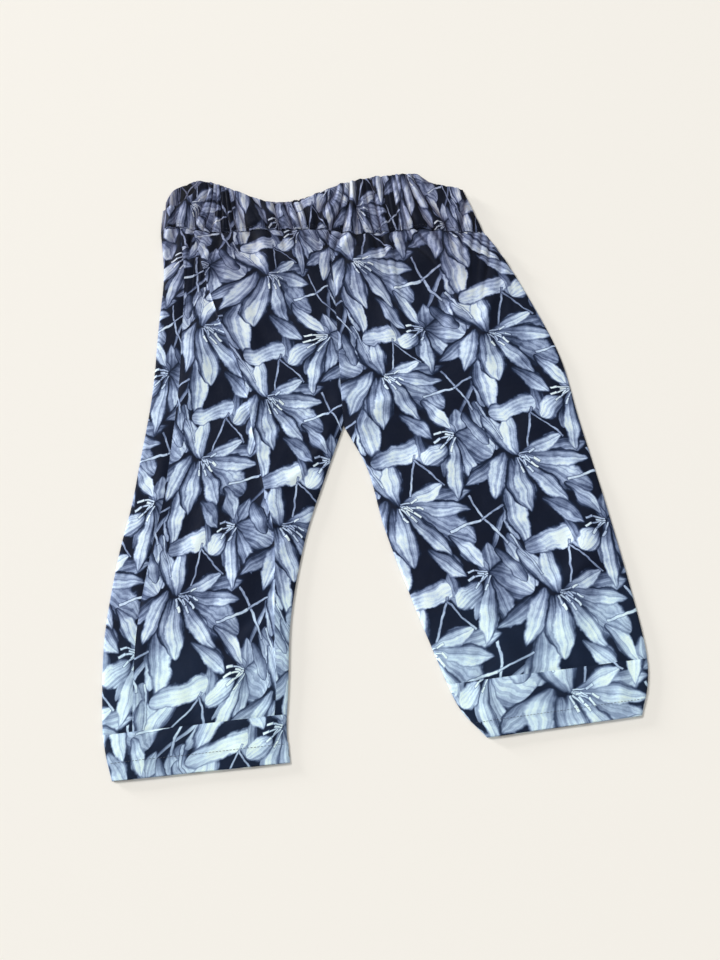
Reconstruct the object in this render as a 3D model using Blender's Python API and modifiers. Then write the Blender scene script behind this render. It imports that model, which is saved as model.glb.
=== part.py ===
"""Wide cropped pull-on trousers, laid flat with their front up.

Metres.  +X is to the right of somebody looking down at the front, +Y runs to the waist
and +Z is up from the surface that the trousers lie on.  The origin is on that surface,
under the middle of the garment's box.  The wearer's right leg lies at -X.

Six pieces are cut and sewn: a front and a back panel for each leg, each running from the
waist seam to the hem, and a gathered elastic waistband in a front and a back half.  The
back pieces lie flat on the surface and the front pieces lie on them.
"""
import math

import bmesh
import bpy

# Driving dimensions.
WALL = 0.0012                 # thickness of a layer of cloth
GAP = 0.0003                  # between two pieces at a seam, and between two layers
HOLLOW = 0.0035               # the most that the front stands clear of the back
LOFT = 0.0005                 # how far the front lies clear of the back between folds
EDGE_ROLL = 0.022             # width over which the front comes down to its outer edges
CROTCH = (-0.0025, -0.0146)   # the legs are measured from here, just below the crotch

# Sections of the legs, measured from CROTCH: where each one meets the side seam and
# the inner edge, which is the centre seam above the crotch and the inseam below it.
LEG_COLUMNS = ("section", "side_x", "side_y", "inner_x", "inner_y")
RIGHT_LEG = (
    ("hem", -0.272, -0.357, -0.095, -0.359),
    ("hem turn", -0.279, -0.325, -0.095, -0.325),
    ("calf", -0.281, -0.285, -0.090, -0.285),
    ("knee", -0.277, -0.206, -0.080, -0.206),
    ("thigh", -0.261, -0.120, -0.056, -0.118),
    ("upper thigh", -0.245, -0.060, -0.026, -0.045),
    ("crotch", -0.235, -0.012, 0.000, 0.014),
    ("seat", -0.217, 0.080, 0.003, 0.082),
    ("hip", -0.206, 0.172, 0.008, 0.172),
    ("pucker", -0.197, 0.245, 0.010, 0.240),
    ("waist seam", -0.198, 0.312, 0.009, 0.290),
)
LEFT_LEG = (
    ("hem", 0.266, -0.353, 0.106, -0.357),
    ("hem turn", 0.280, -0.320, 0.083, -0.325),
    ("calf", 0.286, -0.280, 0.070, -0.283),
    ("knee", 0.284, -0.203, 0.050, -0.204),
    ("thigh", 0.279, -0.118, 0.031, -0.118),
    ("upper thigh", 0.274, -0.055, 0.021, -0.045),
    ("crotch", 0.270, -0.005, 0.000, 0.014),
    ("seat", 0.264, 0.080, 0.003, 0.082),
    ("hip", 0.240, 0.172, 0.008, 0.172),
    ("pucker", 0.218, 0.235, 0.010, 0.240),
    ("waist seam", 0.204, 0.262, 0.009, 0.290),
)

# Sections of the waistband, from the wearer's right end to the left one: where each one
# meets the waist seam, the front's top edge and the back's top edge.
BAND_COLUMNS = ("section", "seam_x", "seam_y", "front_x", "front_y", "back_x", "back_y")
WAISTBAND = (
    ("right end", -0.198, 0.312, -0.194, 0.346, -0.192, 0.354),
    ("right corner", -0.177, 0.315, -0.175, 0.352, -0.180, 0.375),
    ("right shoulder", -0.157, 0.309, -0.156, 0.366, -0.162, 0.384),
    ("right hump", -0.136, 0.303, -0.137, 0.384, -0.140, 0.387),
    ("hump end", -0.096, 0.300, -0.096, 0.362, -0.096, 0.359),
    ("dip start", -0.062, 0.299, -0.062, 0.343, -0.062, 0.346),
    ("dip", -0.030, 0.296, -0.030, 0.336, -0.030, 0.342),
    ("centre", 0.009, 0.290, 0.006, 0.350, 0.006, 0.351),
    ("rise", 0.042, 0.280, 0.042, 0.362, 0.042, 0.360),
    ("plateau", 0.085, 0.278, 0.085, 0.367, 0.085, 0.364),
    ("plateau end", 0.130, 0.279, 0.131, 0.365, 0.131, 0.362),
    ("step", 0.154, 0.273, 0.152, 0.348, 0.152, 0.345),
    ("left end", 0.204, 0.262, 0.188, 0.335, 0.188, 0.333),
)

# The largest folds of the front, as soft ridges measured from CROTCH.
FOLDS = (
    # fold, start x and y, end x and y, half width, height over the cloth beside it
    ("right blouse", -0.176, 0.262, -0.060, 0.250, 0.024, 0.0022),
    ("centre blouse", -0.045, 0.252, 0.075, 0.240, 0.021, 0.0018),
    ("left blouse", 0.085, 0.240, 0.196, 0.222, 0.025, 0.0024),
    ("right pucker 1", -0.165, 0.300, -0.172, 0.214, 0.014, 0.0018),
    ("right pucker 2", -0.118, 0.292, -0.124, 0.190, 0.013, 0.0020),
    ("right pucker 3", -0.071, 0.290, -0.070, 0.222, 0.013, 0.0016),
    ("centre pucker", -0.020, 0.284, -0.014, 0.196, 0.014, 0.0019),
    ("left pucker 1", 0.038, 0.272, 0.048, 0.204, 0.013, 0.0016),
    ("left pucker 2", 0.092, 0.270, 0.108, 0.172, 0.014, 0.0020),
    ("left pucker 3", 0.146, 0.266, 0.172, 0.196, 0.014, 0.0018),
    ("right hip fold", -0.150, 0.160, -0.196, -0.020, 0.022, 0.0014),
    ("left hip fold", 0.150, 0.150, 0.212, -0.010, 0.024, 0.0016),
    ("right crotch drag", -0.012, 0.010, -0.092, 0.098, 0.018, 0.0022),
    ("left crotch drag", 0.012, 0.008, 0.106, 0.084, 0.019, 0.0022),
    ("centre drag", 0.000, 0.030, 0.006, 0.150, 0.016, 0.0014),
    ("right thigh fold", -0.080, -0.050, -0.156, -0.220, 0.024, 0.0020),
    ("left thigh fold", 0.094, -0.040, 0.150, -0.210, 0.026, 0.0022),
    ("right knee fold", -0.240, -0.130, -0.196, -0.262, 0.020, 0.0014),
    ("left knee fold", 0.256, -0.120, 0.206, -0.280, 0.022, 0.0016),
    ("right hem fold", -0.150, -0.250, -0.140, -0.352, 0.018, 0.0014),
    ("left hem fold", 0.128, -0.230, 0.170, -0.348, 0.019, 0.0016),
)

# The gathers of the waistband.
GATHER_PITCH = 0.0215         # their mean spacing
GATHER_HEIGHT = 0.0024
GATHER_DRIFT = ((0.35, 0.110, 1.0), (0.16, 0.043, 2.6))   # turns, wavelength, phase

# How finely the cloth is divided: columns across and rows along.
FRONT_LEG_GRID = (20, 26)
BACK_LEG_GRID = (10, 24)
FRONT_BAND_GRID = (80, 4)
BACK_BAND_GRID = (40, 2)
SEAM_STEPS = 10               # straight steps of the waist seam on each leg
OUTLINE_STEPS = 40            # points along each edge that the outline is measured by

# Finish of each piece: base colour and roughness.
FINISHES = {
    "front_right_leg": ((0.165, 0.190, 0.270), 0.82),
    "front_left_leg": ((0.160, 0.185, 0.265), 0.82),
    "back_right_leg": ((0.150, 0.175, 0.250), 0.85),
    "back_left_leg": ((0.155, 0.180, 0.255), 0.85),
    "front_waistband": ((0.120, 0.140, 0.205), 0.84),
    "back_waistband": ((0.110, 0.130, 0.190), 0.86),
}


def column(table, columns, x_name, y_name):
    """The points that two named columns of a table give, in the garment's frame."""
    x = columns.index(x_name)
    y = columns.index(y_name)
    return [(row[x] + CROTCH[0], row[y] + CROTCH[1]) for row in table]


def curve_point(points, t):
    """The point at t, from 0 to 1, on a Catmull-Rom curve through points."""
    spans = len(points) - 1
    span = min(int(t * spans), spans - 1)
    s = t * spans - span
    p1 = points[span]
    p2 = points[span + 1]
    p0 = points[span - 1] if span > 0 else (2 * p1[0] - p2[0], 2 * p1[1] - p2[1])
    p3 = points[span + 2] if span + 2 < len(points) else (2 * p2[0] - p1[0], 2 * p2[1] - p1[1])

    def blend(a, b, c, d):
        return 0.5 * (2 * b + (c - a) * s + (2 * a - 5 * b + 4 * c - d) * s * s
                      + (3 * b - a - 3 * c + d) * s ** 3)

    return blend(p0[0], p1[0], p2[0], p3[0]), blend(p0[1], p1[1], p2[1], p3[1])


def cornered_point(points, corner, t):
    """As curve_point, with a sharp corner at the point of that number."""
    turn = corner / (len(points) - 1)
    if t < turn:
        return curve_point(points[:corner + 1], t / turn)
    return curve_point(points[corner:], (t - turn) / (1 - turn))


def smooth(value):
    """A soft step from 0 to 1."""
    value = max(0.0, min(1.0, value))
    return value * value * (3 - 2 * value)


def place_on(points, x):
    """How far along a curve, whose points run to +X, it passes a given x."""
    low, high = 0.0, 1.0
    for _ in range(24):
        middle = (low + high) / 2
        if curve_point(points, middle)[0] < x:
            low = middle
        else:
            high = middle
    return (low + high) / 2


def edge_points(table):
    """The side edge and the inner edge of a leg, and the place of the crotch on it."""
    side = column(table, LEG_COLUMNS, "side_x", "side_y")
    inner = column(table, LEG_COLUMNS, "inner_x", "inner_y")
    crotch = [row[0] for row in table].index("crotch")
    return side, inner, crotch


WAIST_SEAM = column(WAISTBAND, BAND_COLUMNS, "seam_x", "seam_y")
FRONT_TOP = column(WAISTBAND, BAND_COLUMNS, "front_x", "front_y")
BACK_TOP = column(WAISTBAND, BAND_COLUMNS, "back_x", "back_y")


def seam_line():
    """The waist seam as straight steps, the same for every piece that meets there."""
    centre = LEG_COLUMNS.index("inner_x")
    centre_x = RIGHT_LEG[-1][centre] + CROTCH[0]
    points = []
    for start, end in ((WAIST_SEAM[0][0], centre_x), (centre_x, WAIST_SEAM[-1][0])):
        for step in range(SEAM_STEPS):
            x = start + (end - start) * step / SEAM_STEPS
            points.append((x, curve_point(WAIST_SEAM, place_on(WAIST_SEAM, x))[1]))
    points.append(WAIST_SEAM[-1])
    return points


SEAM_LINE = seam_line()


def seam_point(u):
    """The point at u, from 0 to 1, along the waist seam's steps."""
    place = u * (len(SEAM_LINE) - 1)
    step = min(int(place), len(SEAM_LINE) - 2)
    start, end = SEAM_LINE[step], SEAM_LINE[step + 1]
    return tuple(a + (b - a) * (place - step) for a, b in zip(start, end))


def seam_height(x):
    """The waist seam's height at a given x."""
    for start, end in zip(SEAM_LINE, SEAM_LINE[1:]):
        if x <= end[0]:
            break
    return start[1] + (end[1] - start[1]) * (x - start[0]) / (end[0] - start[0])


def outline():
    """Points round the front's outer edges: top, sides, hems and inseams."""
    points = []
    steps = [step / OUTLINE_STEPS for step in range(OUTLINE_STEPS + 1)]
    for table in (RIGHT_LEG, LEFT_LEG):
        side, inner, crotch = edge_points(table)
        below = crotch / (len(table) - 1)
        points += [curve_point(side, t) for t in steps]
        points += [cornered_point(inner, crotch, t * below) for t in steps]
        points += [curve_point([side[0], inner[0]], t) for t in steps]
    points += [curve_point(FRONT_TOP, t) for t in steps]
    for end in (0, -1):
        points += [curve_point([WAIST_SEAM[end], FRONT_TOP[end]], t) for t in steps]
    return points


OUTLINE = outline()


def edge_fade(x, y):
    """0 on the outer edge of the front, rising to 1 at EDGE_ROLL inside it."""
    nearest = min((x - px) ** 2 + (y - py) ** 2 for px, py in OUTLINE)
    return smooth(math.sqrt(nearest) / EDGE_ROLL)


def fold_height(x, y):
    """How high the folds lift the front at a point."""
    height = 0.0
    for _, x0, y0, x1, y1, reach, peak in FOLDS:
        dx, dy = x1 - x0, y1 - y0
        px, py = x - CROTCH[0] - x0, y - CROTCH[1] - y0
        place = max(0.0, min(1.0, (px * dx + py * dy) / (dx * dx + dy * dy)))
        away = math.hypot(px - place * dx, py - place * dy)
        height += peak * smooth(1 - away / reach)
    return height


def gather_height(x):
    """How high the waistband's gathers stand at a place along it."""
    turns = x / GATHER_PITCH
    for size, wavelength, phase in GATHER_DRIFT:
        turns += size * math.sin(2 * math.pi * x / wavelength + phase)
    return GATHER_HEIGHT * (0.5 + 0.5 * math.cos(2 * math.pi * turns))


def front_leg_underside(x, y):
    return WALL + GAP + min(HOLLOW, edge_fade(x, y) * (LOFT + fold_height(x, y)))


def front_band_underside(x, y):
    return WALL + GAP + min(HOLLOW, edge_fade(x, y) * LOFT + gather_height(x))


def flat_underside(x, y):
    return 0.0


def leg_surface(table, side_is_left):
    """Where a leg panel's point (u, v) lies; v runs from the hem to the waist seam."""
    side, inner, crotch = edge_points(table)
    seam_inset = GAP / 2
    fade_start = (len(table) - 2.5) / (len(table) - 1)

    def place(u, v):
        side_x, side_y = curve_point(side, v)
        inner_x, inner_y = cornered_point(inner, crotch, v)
        inner_x += -seam_inset if side_is_left else seam_inset
        ends = ((side_x, side_y), (inner_x, inner_y))
        start, end = ends if side_is_left else ends[::-1]
        x = start[0] + (end[0] - start[0]) * u
        y = start[1] + (end[1] - start[1]) * u
        pull = smooth((v - fade_start) / (1 - fade_start))
        return x, y + (seam_height(x) - seam_inset - y) * pull

    return place


def band_surface(top):
    """Where a waistband half's point (u, v) lies; v runs from the seam to the top."""
    def place(u, v):
        seam_x, seam_y = seam_point(u)
        top_x, top_y = curve_point(top, place_on(WAIST_SEAM, seam_x))
        x = seam_x + (top_x - seam_x) * v
        return x, seam_y + GAP / 2 + (top_y - seam_y - GAP / 2) * v

    return place


def make_material(name):
    colour, roughness = FINISHES[name]
    material = bpy.data.materials.new(name + "_cloth")
    material.use_nodes = True
    shader = material.node_tree.nodes["Principled BSDF"]
    shader.inputs["Base Color"].default_value = (*colour, 1.0)
    shader.inputs["Roughness"].default_value = roughness
    shader.inputs["Metallic"].default_value = 0.0
    material.diffuse_color = (*colour, 1.0)
    return material


def make_panel(name, collection, grid, surface, underside):
    """A piece of cloth: a grid laid on its surface, with the wall built up from it."""
    cloth = bmesh.new()
    bmesh.ops.create_grid(cloth, x_segments=grid[0], y_segments=grid[1], size=1.0)
    for vertex in cloth.verts:
        x, y = surface((vertex.co.x + 1) / 2, (vertex.co.y + 1) / 2)
        vertex.co = (x, y, underside(x, y))
    mesh = bpy.data.meshes.new(name)
    cloth.to_mesh(mesh)
    cloth.free()
    mesh.shade_smooth()
    mesh.materials.append(make_material(name))

    panel = bpy.data.objects.new(name, mesh)
    collection.objects.link(panel)
    wall = panel.modifiers.new("wall", "SOLIDIFY")
    wall.thickness = WALL
    wall.offset = 1.0
    return panel


def clear_scene():
    for item in list(bpy.data.objects):
        bpy.data.objects.remove(item, do_unlink=True)


def build():
    clear_scene()
    culottes = bpy.data.collections.new("culottes")
    bpy.context.scene.collection.children.link(culottes)

    for side, table in (("right", RIGHT_LEG), ("left", LEFT_LEG)):
        surface = leg_surface(table, side == "right")
        make_panel(f"back_{side}_leg", culottes, BACK_LEG_GRID, surface, flat_underside)
        make_panel(f"front_{side}_leg", culottes, FRONT_LEG_GRID, surface, front_leg_underside)

    make_panel("back_waistband", culottes, BACK_BAND_GRID, band_surface(BACK_TOP), flat_underside)
    make_panel("front_waistband", culottes, FRONT_BAND_GRID, band_surface(FRONT_TOP),
               front_band_underside)


build()
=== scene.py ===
"""Wide cropped pull-on trousers, laid flat with their front up: what shows of them.

Metres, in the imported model's frame.  +X is to the right of somebody looking down at the
front, +Y runs to the waist and +Z is up from the surface.  Each piece of cloth is a thin
shell over the CAD solid that it stands for, with its hem or casing turned, and the print
is drawn by the cloth's own shader in the repeat that the photo shows.
"""

import math

import bpy
import numpy as np
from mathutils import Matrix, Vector
from mathutils.bvhtree import BVHTree


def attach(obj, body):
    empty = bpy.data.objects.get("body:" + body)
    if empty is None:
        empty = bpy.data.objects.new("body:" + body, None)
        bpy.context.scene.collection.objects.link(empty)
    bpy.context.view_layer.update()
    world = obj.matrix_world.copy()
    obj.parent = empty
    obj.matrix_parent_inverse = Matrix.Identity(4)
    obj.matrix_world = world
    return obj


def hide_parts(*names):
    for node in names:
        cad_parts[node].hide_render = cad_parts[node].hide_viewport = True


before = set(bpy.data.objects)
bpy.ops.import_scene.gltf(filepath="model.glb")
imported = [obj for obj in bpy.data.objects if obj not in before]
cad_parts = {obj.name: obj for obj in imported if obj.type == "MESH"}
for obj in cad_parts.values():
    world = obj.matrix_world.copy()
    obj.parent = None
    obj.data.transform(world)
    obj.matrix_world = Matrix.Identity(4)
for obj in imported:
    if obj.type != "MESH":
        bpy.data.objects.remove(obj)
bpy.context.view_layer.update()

# ---------------------------------------------------------------------------------------
# The garment's outline, as part.py has it.

WALL = 0.0012                 # the CAD model's thickness of a layer
GAP = 0.0003                  # between two pieces at a seam
HOLLOW = 0.0035               # the most that the front stands clear of the back
LOFT = 0.0005                 # how far the front lies clear of the back between folds
EDGE_ROLL = 0.022             # width over which the front comes down to its outer edges
CROTCH = (-0.0025, -0.0146)   # the outline, folds and creases are measured from here

LEG_COLUMNS = ("section", "side_x", "side_y", "inner_x", "inner_y")
RIGHT_LEG = (
    ("hem", -0.272, -0.357, -0.095, -0.359),
    ("hem turn", -0.279, -0.325, -0.095, -0.325),
    ("calf", -0.281, -0.285, -0.090, -0.285),
    ("knee", -0.277, -0.206, -0.080, -0.206),
    ("thigh", -0.261, -0.120, -0.056, -0.118),
    ("upper thigh", -0.245, -0.060, -0.026, -0.045),
    ("crotch", -0.235, -0.012, 0.000, 0.014),
    ("seat", -0.217, 0.080, 0.003, 0.082),
    ("hip", -0.206, 0.172, 0.008, 0.172),
    ("pucker", -0.197, 0.245, 0.010, 0.240),
    ("waist seam", -0.198, 0.312, 0.009, 0.290),
)
LEFT_LEG = (
    ("hem", 0.266, -0.353, 0.106, -0.357),
    ("hem turn", 0.280, -0.320, 0.083, -0.325),
    ("calf", 0.286, -0.280, 0.070, -0.283),
    ("knee", 0.284, -0.203, 0.050, -0.204),
    ("thigh", 0.279, -0.118, 0.031, -0.118),
    ("upper thigh", 0.274, -0.055, 0.021, -0.045),
    ("crotch", 0.270, -0.005, 0.000, 0.014),
    ("seat", 0.264, 0.080, 0.003, 0.082),
    ("hip", 0.240, 0.172, 0.008, 0.172),
    ("pucker", 0.218, 0.235, 0.010, 0.240),
    ("waist seam", 0.204, 0.262, 0.009, 0.290),
)
BAND_COLUMNS = ("section", "seam_x", "seam_y", "front_x", "front_y", "back_x", "back_y")
WAISTBAND = (
    ("right end", -0.198, 0.312, -0.194, 0.346, -0.192, 0.354),
    ("right corner", -0.177, 0.315, -0.175, 0.352, -0.180, 0.375),
    ("right shoulder", -0.157, 0.309, -0.156, 0.366, -0.162, 0.384),
    ("right hump", -0.136, 0.303, -0.137, 0.384, -0.140, 0.387),
    ("hump end", -0.096, 0.300, -0.096, 0.362, -0.096, 0.359),
    ("dip start", -0.062, 0.299, -0.062, 0.343, -0.062, 0.346),
    ("dip", -0.030, 0.296, -0.030, 0.336, -0.030, 0.342),
    ("centre", 0.009, 0.290, 0.006, 0.350, 0.006, 0.351),
    ("rise", 0.042, 0.280, 0.042, 0.362, 0.042, 0.360),
    ("plateau", 0.085, 0.278, 0.085, 0.367, 0.085, 0.364),
    ("plateau end", 0.130, 0.279, 0.131, 0.365, 0.131, 0.362),
    ("step", 0.154, 0.273, 0.152, 0.348, 0.152, 0.345),
    ("left end", 0.204, 0.262, 0.188, 0.335, 0.188, 0.333),
)
FOLDS = (
    # fold, start x and y, end x and y, half width, height over the cloth beside it
    ("right blouse", -0.176, 0.262, -0.060, 0.250, 0.024, 0.0022),
    ("centre blouse", -0.045, 0.252, 0.075, 0.240, 0.021, 0.0018),
    ("left blouse", 0.085, 0.240, 0.196, 0.222, 0.025, 0.0024),
    ("right pucker 1", -0.165, 0.300, -0.172, 0.214, 0.014, 0.0018),
    ("right pucker 2", -0.118, 0.292, -0.124, 0.190, 0.013, 0.0020),
    ("right pucker 3", -0.071, 0.290, -0.070, 0.222, 0.013, 0.0016),
    ("centre pucker", -0.020, 0.284, -0.014, 0.196, 0.014, 0.0019),
    ("left pucker 1", 0.038, 0.272, 0.048, 0.204, 0.013, 0.0016),
    ("left pucker 2", 0.092, 0.270, 0.108, 0.172, 0.014, 0.0020),
    ("left pucker 3", 0.146, 0.266, 0.172, 0.196, 0.014, 0.0018),
    ("right hip fold", -0.150, 0.160, -0.196, -0.020, 0.022, 0.0014),
    ("left hip fold", 0.150, 0.150, 0.212, -0.010, 0.024, 0.0016),
    ("right crotch drag", -0.012, 0.010, -0.092, 0.098, 0.018, 0.0022),
    ("left crotch drag", 0.012, 0.008, 0.106, 0.084, 0.019, 0.0022),
    ("centre drag", 0.000, 0.030, 0.006, 0.150, 0.016, 0.0014),
    ("right thigh fold", -0.080, -0.050, -0.156, -0.220, 0.024, 0.0020),
    ("left thigh fold", 0.094, -0.040, 0.150, -0.210, 0.026, 0.0022),
    ("right knee fold", -0.240, -0.130, -0.196, -0.262, 0.020, 0.0014),
    ("left knee fold", 0.256, -0.120, 0.206, -0.280, 0.022, 0.0016),
    ("right hem fold", -0.150, -0.250, -0.140, -0.352, 0.018, 0.0014),
    ("left hem fold", 0.128, -0.230, 0.170, -0.348, 0.019, 0.0016),
)
GATHER_PITCH = 0.0140         # the mean spacing of the waistband's gathers
GATHER_DRIFT = ((0.42, 0.110, 1.0), (0.14, 0.043, 2.6))   # turns, wavelength, phase
SEAM_STEPS = 10               # straight steps of the waist seam on each leg

# ---------------------------------------------------------------------------------------
# What the CAD solids leave out.

CLOTH = 0.0005                # thickness of the cloth itself
FOLD_RADIUS = 0.00065         # outer radius of a turned edge
STITCHED_GAP = 0.00005        # from the middle of a seam to the cloth's edge
TUCK = 0.0025                 # how far the legs run on under the waistband
HEM_DEPTH = 0.020
FRONT_LEVEL = 2 * WALL + GAP  # the front's upper side between folds
EDGE_LEVEL = 0.0009           # the upper side where the front meets the back at a side
SIDE_ROLL = 0.0034            # width over which a side seam turns down
SEAM_DIP = 0.0008             # how far cloth is drawn down at a seam within the front
SEAM_WIDTH = 0.0030
HEM_SEAM_DIP, SIDE_SEAM_DIP = 0.6 * SEAM_DIP, 0.7 * SEAM_DIP
FINE_SEAM_WIDTH = 0.8 * SEAM_WIDTH    # of those two
BACK_INSET = 0.0016           # the back layer ends inside the front's rolled edge
BAND_LEVEL = 0.0032           # the front waistband's upper side in its troughs
BAND_GATHER = 0.0060
BACK_BAND_GATHER = 0.0034
BACK_BAND_INSET = 0.004
CASING_LINE = 0.0055          # the casing's stitching above the waist seam
INSIDE_PAINTED_SHADE = 0.85           # how much painted shade the inside of the waistband gets, as a gather's valley
SEAM_LEVEL = 0.0030           # the front's upper side along the waist seam
SEAM_GATHER = 0.0026
SEAM_SCALLOP = 0.0024         # how far the gathers pull the waist seam up and down
PUCKER = 0.0060               # height of the gathers just under the waist seam
PUCKER_REACH = (0.026, 0.085) # how far down the shortest and the longest run
BAND_FULLNESS = 1.45          # the waistband's uncut length over its gathered length
LEG_FULLNESS = 0.12           # how much more the legs' top edge is drawn in than their hips
SEAM_FULLNESS = 0.22          # of the legs' cloth, how much the gathers hide at the seam
VALLEY = 0.09                 # a valley's share of a gather's width
TOP_REACH = 0.045             # how far down from the waist seam the cloth is drawn in
DRAW_POWER = 1.5              # above 1, so that this fades slowly at first

# Where the legs meet the waist seam.
SEAM_RISE = 0.014             # how far below the seam the cloth has risen from it
TUCK_DROP = 0.00095           # how far it drops to slip under the waistband
TUCK_START, TUCK_WIDTH = 0.0022, 0.0030
END_RISE = 0.010              # what the side edge may rise by on the way
TOP_EASE = 0.010              # cloth taken up lengthwise along the seam
TOP_RIPPLE, RIPPLE_LENGTH, RIPPLE_PHASE = 0.003, 0.011, 1.0    # how that varies across

# Shares of the way up a leg, over which one thing becomes another.
CROTCH_BLEND = 0.024          # the inseam and the centre seam
HEM_BAND_FADE = 0.004         # the cloth without and with a side seam or pleat

# The waistband.
BAND_SWELL = 0.6              # how much of the legs' slow waves it has
BAND_RISE = 0.012             # width over which the front half rises at its seam and ends
BAND_END_HEIGHT = 0.28        # its height at the ends, over that between them
LAYER_SPREAD = 0.0002         # how far its two layers each stand off the fold's middle
BACK_BAND_RISE, BACK_END_RISE = 0.020, 0.024
TOP_FLATTENING = 0.45         # how much lower the gathers are at the top edge
TOP_WANDER = 0.0022           # how far they pull that edge up and down
BAND_GROOVE = (0.0003, 0.0012)        # at its seam: depth and width
STITCH_GROOVE = (0.0004, 0.0016)      # and under the casing's stitching

# Soft creases of the front: start, end, half width, height over the cloth (below 0 for a
# trough) and how far the middle bows to the left of the run.
CREASES = (
    ("right hip 1", -0.196, 0.190, -0.150, 0.070, 0.007, 0.0007, 0.010),
    ("right hip 2", -0.172, 0.205, -0.118, 0.110, 0.006, -0.0005, 0.006),
    ("right hip 3", -0.100, 0.205, -0.088, 0.120, 0.006, 0.0006, -0.004),
    ("right lap 1", -0.030, 0.060, -0.140, 0.030, 0.007, 0.0007, -0.012),
    ("right lap 2", -0.016, 0.036, -0.120, -0.010, 0.006, -0.0005, -0.010),
    ("right lap 3", -0.010, 0.018, -0.086, -0.062, 0.006, 0.0007, 0.008),
    ("right thigh 1", -0.210, 0.030, -0.228, -0.110, 0.008, 0.0006, 0.006),
    ("right thigh 2", -0.046, -0.070, -0.110, -0.150, 0.007, 0.0006, 0.007),
    ("right thigh 3", -0.170, -0.060, -0.222, -0.150, 0.008, -0.0005, 0.008),
    ("right knee 1", -0.256, -0.170, -0.180, -0.214, 0.008, 0.0007, 0.010),
    ("right knee 2", -0.090, -0.190, -0.150, -0.232, 0.007, -0.0005, -0.007),
    ("right calf 1", -0.250, -0.250, -0.236, -0.350, 0.008, 0.0007, -0.006),
    ("right calf 2", -0.196, -0.262, -0.190, -0.352, 0.007, -0.0005, 0.005),
    ("right calf 3", -0.108, -0.268, -0.114, -0.352, 0.007, 0.0006, 0.004),
    ("left hip 1", 0.206, 0.176, 0.176, 0.060, 0.007, 0.0007, -0.010),
    ("left hip 2", 0.160, 0.196, 0.124, 0.104, 0.006, -0.0005, -0.006),
    ("left hip 3", 0.064, 0.200, 0.066, 0.116, 0.006, 0.0006, 0.004),
    ("left lap 1", 0.030, 0.058, 0.150, 0.022, 0.007, 0.0007, 0.013),
    ("left lap 2", 0.018, 0.034, 0.132, -0.018, 0.006, -0.0005, 0.011),
    ("left lap 3", 0.012, 0.016, 0.078, -0.070, 0.006, 0.0007, -0.008),
    ("left thigh 1", 0.244, 0.040, 0.262, -0.090, 0.008, 0.0006, -0.006),
    ("left thigh 2", 0.040, -0.080, 0.098, -0.160, 0.007, 0.0006, -0.007),
    ("left thigh 3", 0.190, -0.040, 0.236, -0.150, 0.008, -0.0005, -0.008),
    ("left knee 1", 0.270, -0.180, 0.190, -0.226, 0.008, 0.0007, -0.010),
    ("left knee 2", 0.062, -0.200, 0.128, -0.248, 0.007, -0.0005, 0.007),
    ("left calf 1", 0.250, -0.262, 0.244, -0.346, 0.008, 0.0007, 0.006),
    ("left calf 2", 0.206, -0.270, 0.212, -0.350, 0.007, -0.0005, -0.005),
    ("left calf 3", 0.100, -0.280, 0.122, -0.352, 0.007, 0.0006, -0.004),
)
# The same for the back, which can only rise from the surface that it lies on.
BACK_CREASES = (
    ("right seat", -0.180, 0.150, -0.060, 0.090, 0.014, 0.0005, 0.012),
    ("right thigh", -0.090, -0.060, -0.210, -0.150, 0.014, 0.0006, -0.014),
    ("right calf", -0.230, -0.230, -0.140, -0.330, 0.013, 0.0005, 0.010),
    ("left seat", 0.190, 0.140, 0.070, 0.080, 0.014, 0.0005, -0.012),
    ("left thigh", 0.090, -0.060, 0.220, -0.150, 0.014, 0.0006, 0.014),
    ("left calf", 0.250, -0.240, 0.150, -0.330, 0.013, 0.0005, -0.010),
)
# Slow waves of the cloth: length in x and y of one wave, phase, height.
SWELLS = (
    (0.093, 0.310, 0.4, 0.00028),
    (-0.120, 0.170, 2.1, 0.00026),
    (0.250, 0.081, 4.0, 0.00022),
    (0.057, -0.110, 1.3, 0.00014),
    (-0.041, 0.066, 5.2, 0.00010),
    (0.030, 0.047, 3.3, 0.00006),
)

# Where the side seam and a long soft pleat cross the front of the wearer's right leg, as
# a share of the way from the side edge to the inner edge, at each section of RIGHT_LEG.
SIDE_SEAM = (0.155, 0.160, 0.165, 0.170, 0.173, 0.162, 0.147, 0.139, 0.133, 0.123, 0.118)
PLEAT = (0.873, 0.921, 0.935, 0.911, 0.832, 0.674, 0.564, 0.489, 0.343, 0.239, 0.196)
PLEAT_HEIGHT = 0.0013
PLEAT_DROP = 0.0024           # width over which the pleat's edge drops
PLEAT_REACH = 0.016           # width over which the cloth on top rises to that edge
PLEAT_FOOT, PLEAT_FOOT_FADE = -0.345, 0.12     # where it begins, and its soft end there
PLEAT_HEAD, PLEAT_HEAD_FADE = 0.27, 0.05

HEM_SEAMS = {"right": 0.143, "left": 0.170}   # a hem band's seam: its share of the way up
SHARE_LENGTH = 0.58           # what a whole share is in metres, for that seam's width

# ---------------------------------------------------------------------------------------
# The print: a lily and a side lily on a twisted leafy stem, in millimetres from the root
# of the main lily, with +X across the cloth and +Y up it.

REPEAT_UP = (-5.0, 168.0)
REPEAT_ACROSS = (143.0, 46.0)

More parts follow.
